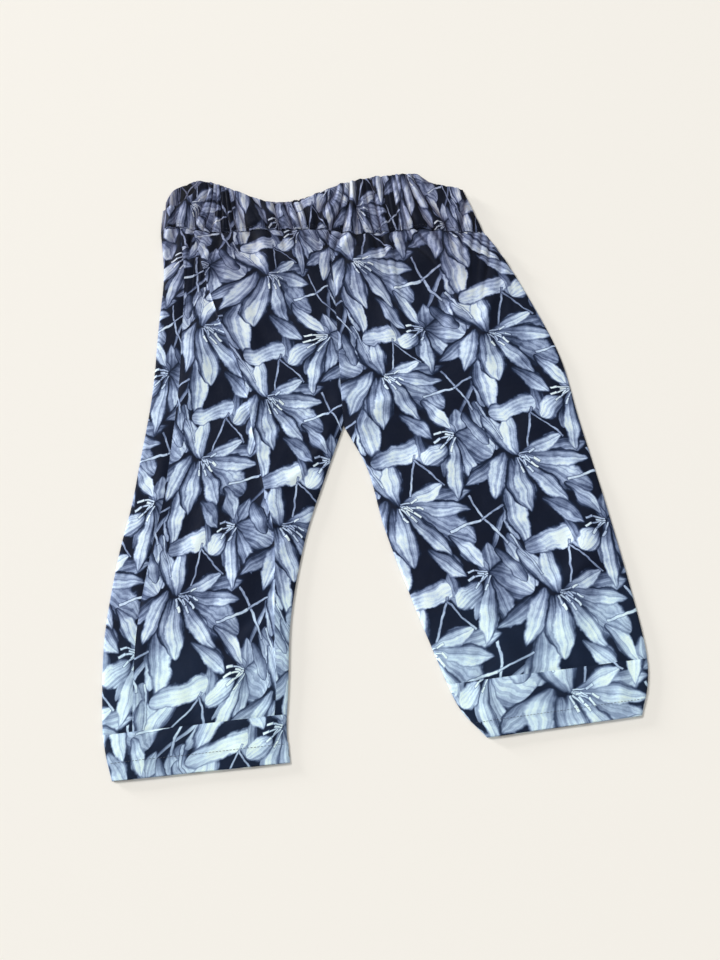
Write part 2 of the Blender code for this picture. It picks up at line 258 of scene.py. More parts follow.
# Where the print's main lily falls on each part of the cloth, and what its two repeats
# measure there, in the garment's frame.
LAY = {
    "left": ((0.187, -0.061), (-0.005, 0.168), (0.143, 0.046)),
    "right_inner": ((-0.089, 0.045), (-0.007, 0.163), (0.112, 0.043)),
    "right_outer": ((-0.169, -0.025), (0.033, 0.160), (0.128, 0.040)),
    "right_side": ((-0.172, -0.110), (0.024, 0.166), (0.128, 0.040)),
    "back_right": ((-0.120, -0.190), (0.020, 0.167), (-0.140, 0.049)),
    "back_left": ((0.160, -0.130), (-0.016, 0.167), (-0.142, 0.042)),
    "right_hem": ((-0.214, 0.028), (0.033, 0.160), (0.128, 0.040)),
    "left_hem": ((0.185, 0.001), (-0.005, 0.168), (0.143, 0.046)),
    "back_right_hem": ((-0.150, -0.160), (0.020, 0.167), (-0.140, 0.049)),
    "back_left_hem": ((0.120, -0.150), (-0.016, 0.167), (-0.142, 0.042)),
    "front_band": ((-0.036, 0.262), (0.000, 0.166), (0.100, 0.046)),
    "back_band": ((0.020, 0.318), (0.000, 0.166), (-0.100, 0.046)),
}

# Where the print departs from the even lay above: middle, reach and shift.  Slack in the
# cloth may be the cause, or the lay itself.
SHIFTS = (
    (-0.070, 0.216, 0.046, 0.022, 0.012),
    (-0.154, 0.150, 0.046, -0.020, 0.018),
    (0.004, 0.124, 0.046, 0.022, 0.000),
    (0.104, 0.122, 0.050, -0.009, -0.020),
    (0.110, 0.184, 0.050, -0.008, -0.010),
    (0.050, 0.058, 0.046, 0.010, 0.000),
    (-0.136, -0.111, 0.046, -0.015, 0.001),
    (-0.100, -0.200, 0.080, 0.004, 0.005),
    (0.060, -0.190, 0.070, 0.008, -0.004),
    (0.200, -0.225, 0.075, 0.012, 0.002),
    (-0.137, -0.273, 0.050, 0.013, -0.003),
    (-0.200, -0.292, 0.050, 0.014, -0.003),
    (-0.225, -0.362, 0.045, -0.016, 0.000),
    (-0.150, -0.362, 0.035, 0.004, 0.008),
    (0.128, -0.335, 0.042, -0.026, -0.006),
)

# Petals and leaves, each laid over those before it: kind, root x and y, angle, length,
# width (below 0 to light the other side), bend and tone.
PETALS = (
    # behind the rest
    ("leaf", 20, 0, 5, 68, 30, 3, 0.60),
    ("leaf", 24, 80, -52, 44, 20, -10, 0.56),
    ("blade", -62, 50, 59, 64, 6, 0, 0.58),
    ("petal", 38, -78, -76, 38, 18, -4, 0.60),
    ("petal", 20, -54, -37, 54, 24, -7, 0.74),
    # the leafy stem down to the next lily
    ("blade", -31, -94, -80, 68, 22, 5, 0.76),
    ("blade", -25, -55, -82, 50, 17, -3, 0.72),
    ("leaf", -17, -30, -88, 88, -29, 3, 0.88),
    ("petal", -38, -98, -66, 44, -19, -5, 0.86),
    # the side lily
    ("blade", -78, 16, -100, 36, 10, 0, 0.46),
    ("leaf", -62, 32, 84, 36, 24, 2, 0.68),
    ("leaf", -64, 34, 128, 20, 14, 0, 0.60),
    ("round", -64, 35, -34, 51, -43, -4, 0.74),
    ("blade", -53, 60, -61, 50, 14, 0, 0.62),
    ("petal", -64, 30, -74, 66, -21, -4, 0.72),
    ("petal", -66, 32, -99, 82, 22, 5, 0.88),
    ("round", -76, 22, -142, 37, 27, 0, 0.98),
    # the main lily
    ("leaf", -16, 0, -142, 60, -24, -5, 0.58),
    ("leaf", -12, 6, -114, 66, 28, 4, 0.84),
    ("petal", -7, -3, -91, 66, -27, 6, 0.76),
    ("broad", 4, -4, -30, 88, -40, -5, 0.64),
    ("petal", 48, -40, -48, 54, -21, -5, 0.92),
    ("petal", 3, -4, -51, 76, 24, -4, 0.84),
    ("petal", -1, -2, -84, 72, 26, -4, 0.90),
    ("petal", 4, 1, -13, 80, 24, 3, 0.78),
    ("petal", 6, 2, 15, 55, 21, 5, 0.92),
    ("petal", -2, 0, 113, 64, 25, 5, 0.82),
    ("petal", 2, -2, 101, 58, -26, -7, 0.94),
    ("ribbon", -22, 54, 9, 58, 28, 5, 1.00),
)
# Stems and stamens: start x and y, end x and y, width and tone.
STROKES = (
    # bare stems
    (29, 59, 15, 8, 2.3, 0.56),
    (27, 53, 58, 17, 2.1, 0.52),
    (-63, -45, -34, -106, 2.4, 0.62),
    (-91, -83, -53, -73, 2.8, 0.76),
    (-53, -73, -27, -60, 2.4, 0.60),
    (-34, 72, -12, 22, 2.1, 0.70),
    # stamens of the main lily, each a thread and its head
    (2, -1, 21, -6, 1.8, 0.72), (20, -5, 27, -9, 2.5, 0.90),
    (3, -2, 17, -12, 1.9, 0.78), (16, -10, 23, -18, 2.6, 0.94),
    (2, -4, 11, -17, 1.8, 0.74), (11, -15, 17, -23, 2.5, 0.88),
    (0, -4, 3, -16, 1.7, 0.70), (3, -15, 6, -22, 2.4, 0.92),
    (3, 1, 17, 2, 1.8, 0.70), (15, 1, 23, 5, 2.4, 0.86),
    (5, -4, 13, -4, 2.2, 0.86), (7, -7, 10, -14, 2.0, 0.82),
    (9, -2, 15, -8, 1.8, 0.80),
    # stamens of the side lily
    (-66, 35, -82, 38, 1.8, 0.74), (-80, 38, -88, 36, 2.5, 0.90),
    (-66, 33, -84, 29, 1.9, 0.78), (-82, 30, -90, 26, 2.6, 0.94),
    (-67, 31, -79, 22, 1.8, 0.74), (-78, 23, -84, 17, 2.4, 0.90),
    (-64, 30, -70, 18, 1.7, 0.70), (-69, 19, -73, 12, 2.4, 0.88),
    (-70, 33, -77, 34, 2.2, 0.84), (-71, 31, -75, 26, 1.8, 0.80),
)

RIM = 0.30                    # the level of a petal's outline on its width curve
SHADE = 0.16                  # how far its dark edge spreads, on the same scale
SLIM = 0.86                   # the petals' true widths over those in the table
WIDTHS = {
    "petal": ((0, 0), (0.012, 0.34), (0.05, 0.44), (0.15, 0.56), (0.35, 0.82), (0.56, 1.0),
              (0.72, 0.88), (0.85, 0.62), (0.94, 0.40), (1, 0.10)),
    "leaf": ((0, 0), (0.012, 0.36), (0.05, 0.48), (0.18, 0.74), (0.38, 0.98), (0.56, 0.94),
             (0.74, 0.72), (0.88, 0.46), (1, 0.10)),
    "blade": ((0, 0), (0.012, 0.36), (0.06, 0.62), (0.30, 0.90), (0.60, 1.0), (0.85, 0.80),
              (0.95, 0.50), (1, 0)),
    "round": ((0, 0), (0.012, 0.36), (0.06, 0.54), (0.22, 0.84), (0.45, 1.0), (0.68, 0.99),
              (0.86, 0.80), (0.96, 0.50), (1, 0)),
    "broad": ((0, 0), (0.012, 0.36), (0.05, 0.48), (0.20, 0.66), (0.45, 0.90), (0.70, 1.0),
              (0.88, 0.82), (0.97, 0.50), (1, 0)),
    "ribbon": ((0, 0), (0.03, 0.62), (0.15, 0.90), (0.40, 0.94), (0.75, 1.0), (0.94, 0.92),
               (0.985, 0.55), (1, 0)),
}
# Across a petal: turns of its veins, their depth, the midrib's depth, the side light.
VEINS = {
    "petal": (4.3, 0.099, 0.15, 0.66),
    "leaf": (5.1, 0.105, 0.12, 0.70),
    "blade": (3.7, 0.093, 0.08, 0.62),
    "round": (7.1, 0.102, 0.08, 0.50),
    "broad": (6.7, 0.102, 0.08, 0.62),
    "ribbon": (5.9, 0.076, 0.00, 0.34),
}
# Along a petal: how bright it is from its root to its tip.
GLOW = {
    "petal": ((0, 0.40), (0.10, 0.56), (0.36, 0.84), (0.70, 1.0), (0.92, 0.92), (1, 0.80)),
    "leaf": ((0, 0.42), (0.15, 0.68), (0.45, 0.96), (0.75, 1.0), (1, 0.76)),
    "blade": ((0, 0.50), (0.30, 0.86), (0.70, 1.0), (1, 0.80)),
    "round": ((0, 0.38), (0.14, 0.62), (0.40, 0.86), (0.75, 1.0), (1, 0.94)),
    "broad": ((0, 0.38), (0.15, 0.62), (0.45, 0.88), (0.80, 1.0), (1, 0.84)),
    "ribbon": ((0, 0.66), (0.16, 0.78), (0.40, 0.94), (0.65, 1.0), (1, 1.0)),
}
# The inks, from the dark ground to the brightest petal: tone and sRGB colour.
INKS = (
    (0.00, (8, 17, 37)),
    (0.12, (26, 40, 66)),
    (0.30, (80, 95, 128)),
    (0.50, (129, 146, 180)),
    (0.70, (171, 190, 222)),
    (0.86, (206, 227, 250)),
    (1.00, (236, 252, 255)),
)

# ---------------------------------------------------------------------------------------
# Curves and the outline.

CURVE_SAMPLES = 2001
OUTLINE_STEPS = 161


def column(table, columns, x_name, y_name):
    """The points that two named columns of a table give, in the garment's frame."""
    x = columns.index(x_name)
    y = columns.index(y_name)
    return np.array([(row[x] + CROTCH[0], row[y] + CROTCH[1]) for row in table])


def curve(points, t):
    """The points at t, from 0 to 1, on a Catmull-Rom curve through points."""
    points = np.asarray(points, float)
    ends = (2 * points[:1] - points[1:2], points, 2 * points[-1:] - points[-2:-1])
    padded = np.concatenate(ends)
    place = np.atleast_1d(t) * (len(points) - 1)
    span = np.clip(place.astype(int), 0, len(points) - 2)
    s = place - span
    if points.ndim > 1:
        s = s[:, None]
    p0, p1, p2, p3 = (padded[span + i] for i in range(4))
    return 0.5 * (2 * p1 + (p2 - p0) * s + (2 * p0 - 5 * p1 + 4 * p2 - p3) * s ** 2
                  + (3 * p1 - p0 - 3 * p2 + p3) * s ** 3)


def cornered_curve(points, corner, t):
    """As curve, with a sharp corner at the point of that number."""
    t = np.atleast_1d(t)
    turn = corner / (len(points) - 1)
    below = curve(points[:corner + 1], np.minimum(t, turn) / turn)
    above = curve(points[corner:], (np.maximum(t, turn) - turn) / (1 - turn))
    return np.where((t < turn)[:, None], below, above)


def smooth(value):
    """A soft step from 0 to 1."""
    value = np.clip(value, 0.0, 1.0)
    return value * value * (3 - 2 * value)


def bell(away, width, power=2):
    """1 in the middle, falling to nothing at a few widths off."""
    return np.exp(-(away / width) ** power)


def between(low, high, share):
    return low + (high - low) * share


def place_on(points, x):
    """How far along a curve, whose points run to +X, it passes a given x."""
    t = np.linspace(0, 1, CURVE_SAMPLES)
    return np.interp(x, curve(points, t)[:, 0], t)


WAIST_SEAM = column(WAISTBAND, BAND_COLUMNS, "seam_x", "seam_y")
FRONT_TOP = column(WAISTBAND, BAND_COLUMNS, "front_x", "front_y")
BACK_TOP = column(WAISTBAND, BAND_COLUMNS, "back_x", "back_y")


def inner_x(table):
    """Where a leg's centre seam meets the waist seam."""
    return table[-1][LEG_COLUMNS.index("inner_x")] + CROTCH[0]


def seam_line():
    """The waist seam as straight steps, the same for every piece that meets there."""
    first, last, centre = WAIST_SEAM[0][0], WAIST_SEAM[-1][0], inner_x(RIGHT_LEG)
    x = np.concatenate([np.linspace(first, centre, SEAM_STEPS + 1),
                        np.linspace(centre, last, SEAM_STEPS + 1)[1:]])
    return x, curve(WAIST_SEAM, place_on(WAIST_SEAM, x))[:, 1]


SEAM_LINE = seam_line()


def seam_height(x):
    return np.interp(x, *SEAM_LINE)


def leg_edges(table, v):
    """The side edge and the inner edge of a leg at v, from the hem to the waist seam."""
    side = column(table, LEG_COLUMNS, "side_x", "side_y")
    inner = column(table, LEG_COLUMNS, "inner_x", "inner_y")
    return curve(side, v), cornered_curve(inner, crotch_row(table), v)


def crotch_row(table):
    return [row[0] for row in table].index("crotch")


def outline():
    """Points round the front's outer edges: top, sides, hems and inseams."""
    steps = np.linspace(0, 1, OUTLINE_STEPS)
    points = []
    for table in (RIGHT_LEG, LEFT_LEG):
        below = crotch_row(table) / (len(table) - 1)
        side, _ = leg_edges(table, steps)
        _, inner = leg_edges(table, steps * below)
        ends = [edge[0] for edge in leg_edges(table, np.zeros(1))]
        points += [side, inner, curve(ends, steps)]
    points.append(curve(FRONT_TOP, steps))
    for end in (0, -1):
        points.append(curve([WAIST_SEAM[end], FRONT_TOP[end]], steps))
    return np.concatenate(points)


OUTLINE = outline()


def edge_fade(x, y):
    """0 on the outer edge of the front, rising to 1 at EDGE_ROLL inside it."""
    nearest = np.full(x.shape, np.inf)
    for px, py in OUTLINE:
        nearest = np.minimum(nearest, (x - px) ** 2 + (y - py) ** 2)
    return smooth(np.sqrt(nearest) / EDGE_ROLL)


# ---------------------------------------------------------------------------------------
# How high the cloth lies.

FOLD_END = 0.35               # a fold's least height over its greatest
FOLD_PAST, FOLD_FALL = 1.15, 0.9     # where it has come down to that, and over what share
CREASE_SCALE = 1.8
CREASE_PAST, CREASE_FADE = 0.12, 0.40     # how far it runs past its ends, and fades there
FLANK_DEPTH, FLANK_OFF = 0.45, 1.7   # the hollow beside a crease, in its height and widths


def along_and_off(x, y, x0, y0, x1, y1):
    """How far along a run a point is, from 0 to 1, and how far off it to the left."""
    dx, dy = x1 - x0, y1 - y0
    px, py = x - CROTCH[0] - x0, y - CROTCH[1] - y0
    length = math.hypot(dx, dy)
    return (px * dx + py * dy) / length ** 2, (dx * py - dy * px) / length, length


def fold_height(x, y):
    """How high the folds lift the front: the CAD model's, each lower towards its end."""
    height = np.zeros(x.shape)
    for _, x0, y0, x1, y1, reach, peak in FOLDS:
        place, off, length = along_and_off(x, y, x0, y0, x1, y1)
        beyond = (place - np.clip(place, 0, 1)) * length
        taper = between(FOLD_END, 1, smooth((FOLD_PAST - place) / FOLD_FALL))
        height += peak * taper * smooth(1 - np.hypot(off, beyond) / reach)
    return height


def crease_height(x, y, creases):
    """Soft creases, each with a slight hollow along one flank and ends that fade."""
    height = np.zeros(x.shape)
    for _, x0, y0, x1, y1, reach, peak, bow in creases:
        place, off, _ = along_and_off(x, y, x0, y0, x1, y1)
        middle = np.clip(place, 0, 1)
        off = off - 4 * bow * middle * (1 - middle)
        fade = smooth((place + CREASE_PAST) / CREASE_FADE)
        fade *= smooth((1 + CREASE_PAST - place) / CREASE_FADE)
        flank = bell(off - FLANK_OFF * reach, reach)
        height += CREASE_SCALE * peak * fade * (bell(off, reach) - FLANK_DEPTH * flank)
    return height


def swell_height(x, y):
    height = np.zeros(x.shape)
    for across, up, phase, peak in SWELLS:
        height += peak * np.sin(2 * math.pi * (x / across + y / up) + phase)
    return height


def gather_turns(x):
    """The gathers that a place along the waist has passed, counted from the centre."""
    turns = x / GATHER_PITCH
    for size, wavelength, phase in GATHER_DRIFT:
        turns = turns + size * np.sin(2 * math.pi * x / wavelength + phase)
    return turns


SPREAD, SCATTER = 12.9898, 43758.5453     # for values that look drawn by lot
# Waves along the waist: size, wavelength over two pi, and phase.
LEANS = ((0.30, 0.031, 0.7), (0.16, 0.0125, 0.0))
SEAM_DRIFTS = ((0.5, 0.031, 0.0), (0.4, 0.0137, 1.0))
CREST_POWER = 0.8             # below 1 for round crests and sharp valleys
LEAST_CREST = 0.45            # the lowest gather over the tallest, and the same for valleys
FINER_TURNS, FINER_START = 2.3, 0.4       # smaller gathers for each gather
FINER_LEAST, FINER_SHARE = 0.1, 0.26      # the lowest of them, and their share of the height
SHADE_WIDTH, SHADE_POWER, SLOPE_SHADE = 0.16, 1.4, 0.30   # how much painted shade a gather's valley and slopes get
SCALLOP_LEVEL = 0.4           # the gathers' height that leaves the waist seam in its place
DRIFT_SHARE = 0.5             # how much of SEAM_DRIFTS it follows
PUCKER_POWER = 1.6            # how suddenly the gathers end in a leg
PUCKER_SINK = 0.25            # how far the cloth sinks between them, over their height
EDGE_FINE = 0.25              # how much of the creases is left on the outer edges


def waves(x, table):
    return sum(size * np.sin(x / length + phase) for size, length, phase in table)


def uneven(number, low, high, seed):
    """A value from low to high that each whole number keeps as its own."""
    return between(low, high, np.modf(np.abs(np.sin(number * SPREAD + seed) * SCATTER))[0])


def lean(x, above):
    """Gathers lean to one side or the other as they run away from the waist seam."""
    return x - above * waves(x, LEANS)


def gathers(x, above=0.0):
    """The gathers' form, from 0 in a sharp valley to 1 on the tallest round crest."""
    turns = gather_turns(lean(x, above))
    crest = np.abs(np.sin(math.pi * turns)) ** CREST_POWER
    crest *= uneven(np.floor(turns), LEAST_CREST, 1.0, seed=0.3)
    turns = FINER_TURNS * turns + FINER_START
    finer = np.abs(np.sin(math.pi * turns)) * uneven(np.floor(turns), FINER_LEAST, 1.0, seed=1.9)
    return (1 - FINER_SHARE) * crest + FINER_SHARE * finer


def from_valley(x, above):
    """The number of the nearest valley, and how far off it is in gathers."""
    turns = gather_turns(lean(x, above))
    return np.round(turns), turns - np.round(turns)


def gather_draw(x, above, hidden):
    """How far the cloth is shifted towards the valleys, where a share of it is hidden."""
    away = from_valley(x, above)[1]
    return hidden * GATHER_PITCH * (0.5 * np.tanh(away / VALLEY) - away)


def painted_valley_shade(x, above):
    """How much painted shade a gather's valley puts on a place: 1 at its bottom, 0 on the crests.
    """
    number, away = from_valley(x, above)
    valley = bell(np.abs(away), SHADE_WIDTH, SHADE_POWER)
    valley *= uneven(number, LEAST_CREST, 1.0, seed=2.7)
    return np.clip(valley + SLOPE_SHADE * (1 - gathers(x, above)), 0, 1)


def seam_edge(x):
    """The waist seam as the gathers draw it."""
    drift = DRIFT_SHARE * waves(x, SEAM_DRIFTS)
    return seam_height(x) + SEAM_SCALLOP * (gathers(x) - SCALLOP_LEVEL + drift)


def seam_level(x):
    return SEAM_LEVEL + SEAM_GATHER * gathers(x)


def pucker_fade(x, below):
    """How much is left of each gather at a distance below the waist seam."""
    number = np.floor(gather_turns(lean(x, -below)))
    return bell(below, uneven(number, *PUCKER_REACH, seed=2.2), PUCKER_POWER)


def pucker_height(x, y):
    """The gathers that run on into the leg below the waist seam."""
    below = np.maximum(seam_height(x) - y, 0)
    form = pucker_fade(x, below) * gathers(x, -below)
    return PUCKER * (form - PUCKER_SINK * bell(below, TOP_REACH))


def front_height(x, y):
    """The upper side of the front's legs, before their edges turn down."""
    fade = edge_fade(x, y)
    folds = np.minimum(HOLLOW, fade * (LOFT + fold_height(x, y)))
    fine = crease_height(x, y, CREASES) + swell_height(x, y)
    return FRONT_LEVEL + folds + between(EDGE_FINE, 1, fade) * fine + pucker_height(x, y)


def back_height(x, y):
    """The lower side of the back's legs, which touches the surface between creases."""
    return np.maximum(crease_height(x, y, BACK_CREASES), 0)


# ---------------------------------------------------------------------------------------
# Meshes.


def spaced(count, low, high):
    """Shares from 0 to 1 in even steps, with closer ones of those widths at the ends."""
    even = np.linspace(0, 1, count + 1)
    low = np.array((0.0, *low))
    high = 1 - np.array((0.0, *high))
    clear = 0.5 / count
    middle = even[(even > low.max() + clear) & (even < high.min() - clear)]
    return np.unique(np.concatenate([low, middle, high]))


def grid_faces(rows, columns):
    corner = np.arange(rows - 1)[:, None] * columns + np.arange(columns - 1)[None, :]
    corner = corner.ravel()
    return np.stack([corner, corner + 1, corner + columns + 1, corner + columns], 1)


def print_place(part, x, y):
    """Repeats of the print up and across the cloth at a place, for a part of LAY."""
    anchor, up, across = LAY[part]
    shares = np.linalg.inv(np.array([up, across]).T)
    dx, dy = x - anchor[0], y - anchor[1]
    return shares[0, 0] * dx + shares[0, 1] * dy, shares[1, 0] * dx + shares[1, 1] * dy


def unshifted(x, y):
    """The places of the even lay whose print SHIFTS brings to x and y."""
    shift_x, shift_y = np.zeros(x.shape), np.zeros(x.shape)
    for middle_x, middle_y, reach, across, up in SHIFTS:
        share = np.exp(-((x - middle_x) ** 2 + (y - middle_y) ** 2) / reach ** 2)
        shift_x += across * share
        shift_y += up * share
    return x - shift_x, y - shift_y


def print_metres(up, across):
    """The same place in metres of the print's own cloth."""
    return ((up * REPEAT_UP[0] + across * REPEAT_ACROSS[0]) / 1000,
            (up * REPEAT_UP[1] + across * REPEAT_ACROSS[1]) / 1000)


def new_object(name, data, location=(0, 0, 0)):
    made = bpy.data.objects.new(name, data)
    made.location = location
    bpy.context.scene.collection.objects.link(made)
    return made


def new_piece(name, points, faces, material):
    """An object with a mesh of its own, shown smooth."""
    mesh = bpy.data.meshes.new(name)
    mesh.from_pydata(points, [], faces)
    mesh.materials.append(material)
    mesh.shade_smooth()
    return new_object(name, mesh)


def add_layer(mesh, name, places):
    mesh.uv_layers.new(name=name).data.foreach_set("uv", places.astype(np.float32).ravel())


def make_cloth(name, x, y, z, cloth_x, cloth_y, parts, facing_up, material, painted_shade=None):
    """A sheet of cloth from a grid of places, given thickness behind its right side.

    cloth_x and cloth_y say which spot of the uncut cloth each point is, as if the garment's
    frame went on flat round a turned edge; parts names the part of LAY of every face, of each
    column or of each row and column, and painted_shade the painted shade of gathers' valleys.
    """
    rows, columns = x.shape
    faces = grid_faces(rows, columns)
    if not facing_up:
        faces = faces[:, ::-1]
    corners = faces.ravel()
    part_of_face = np.broadcast_to(parts, (rows - 1, columns - 1))
    part_of_corner = np.repeat(part_of_face.ravel(), 4)
    flat_x, flat_y = cloth_x.ravel()[corners], cloth_y.ravel()[corners]
    if facing_up:
        flat_x, flat_y = unshifted(flat_x, flat_y)
    repeats = np.zeros((len(corners), 2))
    for part in np.unique(part_of_face):
        here = part_of_corner == part
        repeats[here] = np.stack(print_place(part, flat_x[here], flat_y[here]), 1)
    depth = np.zeros(repeats.shape)
    if painted_shade is not None:
        depth[:, 0] = painted_shade.ravel()[corners]

    points = np.stack([x.ravel(), y.ravel(), z.ravel()], 1)
    piece = new_piece(name, points.tolist(), faces.tolist(), material)
    add_layer(piece.data, "cloth", np.stack(print_metres(*repeats.T), 1))
    add_layer(piece.data, "repeat", repeats)
    # The painted shade of the gathers' valleys, which the material darkens the cloth by.
    add_layer(piece.data, "gather", depth)
    thickness = piece.modifiers.new("thickness", "SOLIDIFY")
    thickness.thickness = CLOTH
    thickness.offset = -1.0
    thickness.use_quality_normals = True
    return piece


# ---------------------------------------------------------------------------------------
# The legs.  Rows run up a leg and columns across it, and both lie closer at edges and seams.

LEG_ROWS = spaced(250, low=(0.0035, 0.007), high=(0.0015, 0.0032, 0.0048, 0.0066, 0.009))
ROW_CLEAR, ROW_BELOW, ROW_ABOVE = 0.003, 0.0012, 0.0024      # round a hem band's seam
# The closer columns, as shares of their strip's width.
NEAR_EDGE = (0.004, 0.010, 0.020)
NEAR_SEAM = (0.003, 0.006)
PAST_SEAM = (*NEAR_EDGE, 0.035)
NEAR_BACK_EDGE = (0.006,)
BACK_COLUMNS = 52
TURN_STEPS = 5                # across a turned edge
HEM_ROWS = 6                  # along the turned-up hem
HEM_SIDE_ROW = 3              # the row from which the hem's turn takes its direction
TOP_SECTIONS = 2              # how many of the outline's sections are drawn to the waist seam

# Each leg: its outline, whether its side edge is on the left, and the front's strips, each
# with its part of LAY, its columns and the line where it ends.
LEGS = {
    "right": (RIGHT_LEG, True, (
        ("right_side", 14, SIDE_SEAM),
        ("right_outer", 52, PLEAT),
        ("right_inner", 34, None),
    )),
    "left": (LEFT_LEG, False, (
        ("left", 100, None),
    )),
}


def hem_profile():
    """A turned-up hem's rows, from its cut edge inside the leg to the leg's lowest row.

    Gives how far each lies beyond that row, how far on the uncut cloth, and its drop.
    """
    turn = np.linspace(math.pi, 0, TURN_STEPS + 1)[:, None]
    back = np.linspace(HEM_DEPTH, 0, HEM_ROWS + 1)[:-1, None]
    reach = np.concatenate([-FOLD_RADIUS - back, FOLD_RADIUS * (np.sin(turn) - 1)])
    beyond = np.concatenate([back + math.pi * FOLD_RADIUS, turn * FOLD_RADIUS]) - FOLD_RADIUS
    drop = np.concatenate([np.full(back.shape, 2.0), 1 - np.cos(turn)]) * FOLD_RADIUS
    return reach, beyond, drop


def leg_grid(table, side_is_left, shares, rows, height, facing_up, inset):
    """Points of a leg panel with its hem turned, and the uncut cloth's place of each.

    shares, from the side edge to the inner edge, is a number for each column, or one for
    each row and column.
    """
    side, inner = leg_edges(table, rows)
    inner = inner + np.array([-STITCHED_GAP if side_is_left else STITCHED_GAP, 0])
    shares = np.broadcast_to(shares, (len(rows), np.shape(shares)[-1]))
    widths = np.linalg.norm(inner - side, axis=1)[:, None]
    shares = inset / widths + shares * (1 - 2 * inset / widths)
    flat = between(side[:, None], inner[:, None], shares[..., None])
    x, y = flat[..., 0], flat[..., 1].copy()

    # The top of the leg is drawn to the curved, gathered seam.
    sections = len(table) - 1
    low = np.searchsorted(rows, (sections - TOP_SECTIONS) / sections)
    draw = np.clip((rows - rows[low]) / (1 - rows[low]), 0, 1)[:, None] ** 2
    stretch = (seam_edge(x[-1]) + TUCK - y[low]) / (y[-1] - y[low])
    y += (y - y[low]) * (stretch - 1) * draw

    # The hem: the sheet turns over at its lowest row and runs back inside the leg.
    out = np.stack([x[0] - x[HEM_SIDE_ROW], y[0] - y[HEM_SIDE_ROW]], -1)
    out /= np.linalg.norm(out, axis=1)[:, None]
    reach, beyond, drop = hem_profile()
    hem_x, hem_y = x[0] + out[:, 0] * reach, y[0] + out[:, 1] * reach
    cloth_x = np.concatenate([x[0] + out[:, 0] * beyond, x[1:]])
    cloth_y = np.concatenate([y[0] + out[:, 1] * beyond, y[1:]])
    x, y = np.concatenate([hem_x, x[1:]]), np.concatenate([hem_y, y[1:]])
    drop = np.concatenate([np.broadcast_to(drop, hem_x.shape), np.zeros(x[len(hem_x):].shape)])
    z = height(x, y) - drop * (1 if facing_up else -1)
    rows_v = np.concatenate([np.zeros(len(hem_x)), rows[1:]])
    across = np.concatenate([np.repeat(shares[:1], len(hem_x), 0), shares[1:]])
    width = np.concatenate([np.repeat(widths[:1], len(hem_x), 0), widths[1:]])
    return x, y, z, cloth_x, cloth_y, across * width, (1 - across) * width, rows_v[:, None]


def turn_down(z, away, level, width):
    """Cloth that comes down to a level in a round edge."""
    share = np.clip(away / width, 0, 1)
    return between(level, z, np.sqrt(1 - (1 - share) ** 2))


def dip(away, depth, width):
    """The groove along a seam."""
    return -depth * bell(away, width)


def rows_round(share):
    """A leg's rows, with one at a share of the way up and two close beside it."""
    clear = LEG_ROWS[np.abs(LEG_ROWS - share) > ROW_CLEAR]
    return np.unique(np.concatenate([clear, (share - ROW_BELOW, share, share + ROW_ABOVE)]))


def with_hem_band(parts, v, leg, band):
    """The part of LAY of each row and column, with the hem band's own below its seam."""
    below = (v[:-1, :1] + v[1:, :1]) / 2 < HEM_SEAMS[leg]
    return np.where(below, band, parts)


def left_to_right(side_is_left, *grids):
    """The same grids with their columns running to +X."""
    return grids if side_is_left else [grid[..., ::-1] for grid in grids]


def front_columns(strips, rows):
    """A front leg's columns, as shares for each row, and the part of LAY of each."""
    low = np.zeros(len(rows))
    columns, parts = [], []
    for part, count, edge in strips:
        high = np.ones(len(rows)) if edge is None else curve(edge, rows)
        steps = spaced(count, low=PAST_SEAM if columns else NEAR_EDGE,
                       high=NEAR_EDGE if edge is None else NEAR_SEAM)
        strip = between(low[:, None], high[:, None], steps[None, :])
        columns.append(strip[:, 1:] if columns else strip)
        parts += [part] * (len(steps) - 1)
        low = high
    return np.concatenate(columns, 1), np.array(parts)


def close_edges(table, z, from_side, from_inner, v):
    """Turns the side edge and the inseam down, and sinks the centre seam."""
    crotch = crotch_row(table) / (len(table) - 1)
    within = smooth((v - crotch + CROTCH_BLEND / 2) / CROTCH_BLEND)
    rolled = turn_down(z, from_inner, EDGE_LEVEL, SIDE_ROLL)
    seamed = z + dip(from_inner, SEAM_DIP, SEAM_WIDTH)
    return turn_down(between(rolled, seamed, within), from_side, EDGE_LEVEL, SIDE_ROLL)


def meet_waist_seam(x, z, below, from_side):
    """Brings a front leg's top down to the waist seam, and under the waistband."""
    level = seam_level(x)
    rise = smooth(below / SEAM_RISE)
    z = between(level, z, rise) - TUCK_DROP * smooth((TUCK_START - below) / TUCK_WIDTH)
    side_end = turn_down(level, from_side, EDGE_LEVEL, SIDE_ROLL) + rise * END_RISE
    return np.where(below < SEAM_RISE, np.minimum(z, side_end), z)


def pleat_height(away, y):
    """The pleat's edge, which lies on top of the cloth on its outer side."""
    fade = smooth((y - PLEAT_FOOT) / PLEAT_FOOT_FADE) * smooth((PLEAT_HEAD - y) / PLEAT_HEAD_FADE)
    rise = smooth((away + PLEAT_DROP) / PLEAT_DROP)
    rise *= bell(np.maximum(away, 0), PLEAT_REACH)
    return PLEAT_HEIGHT * fade * rise


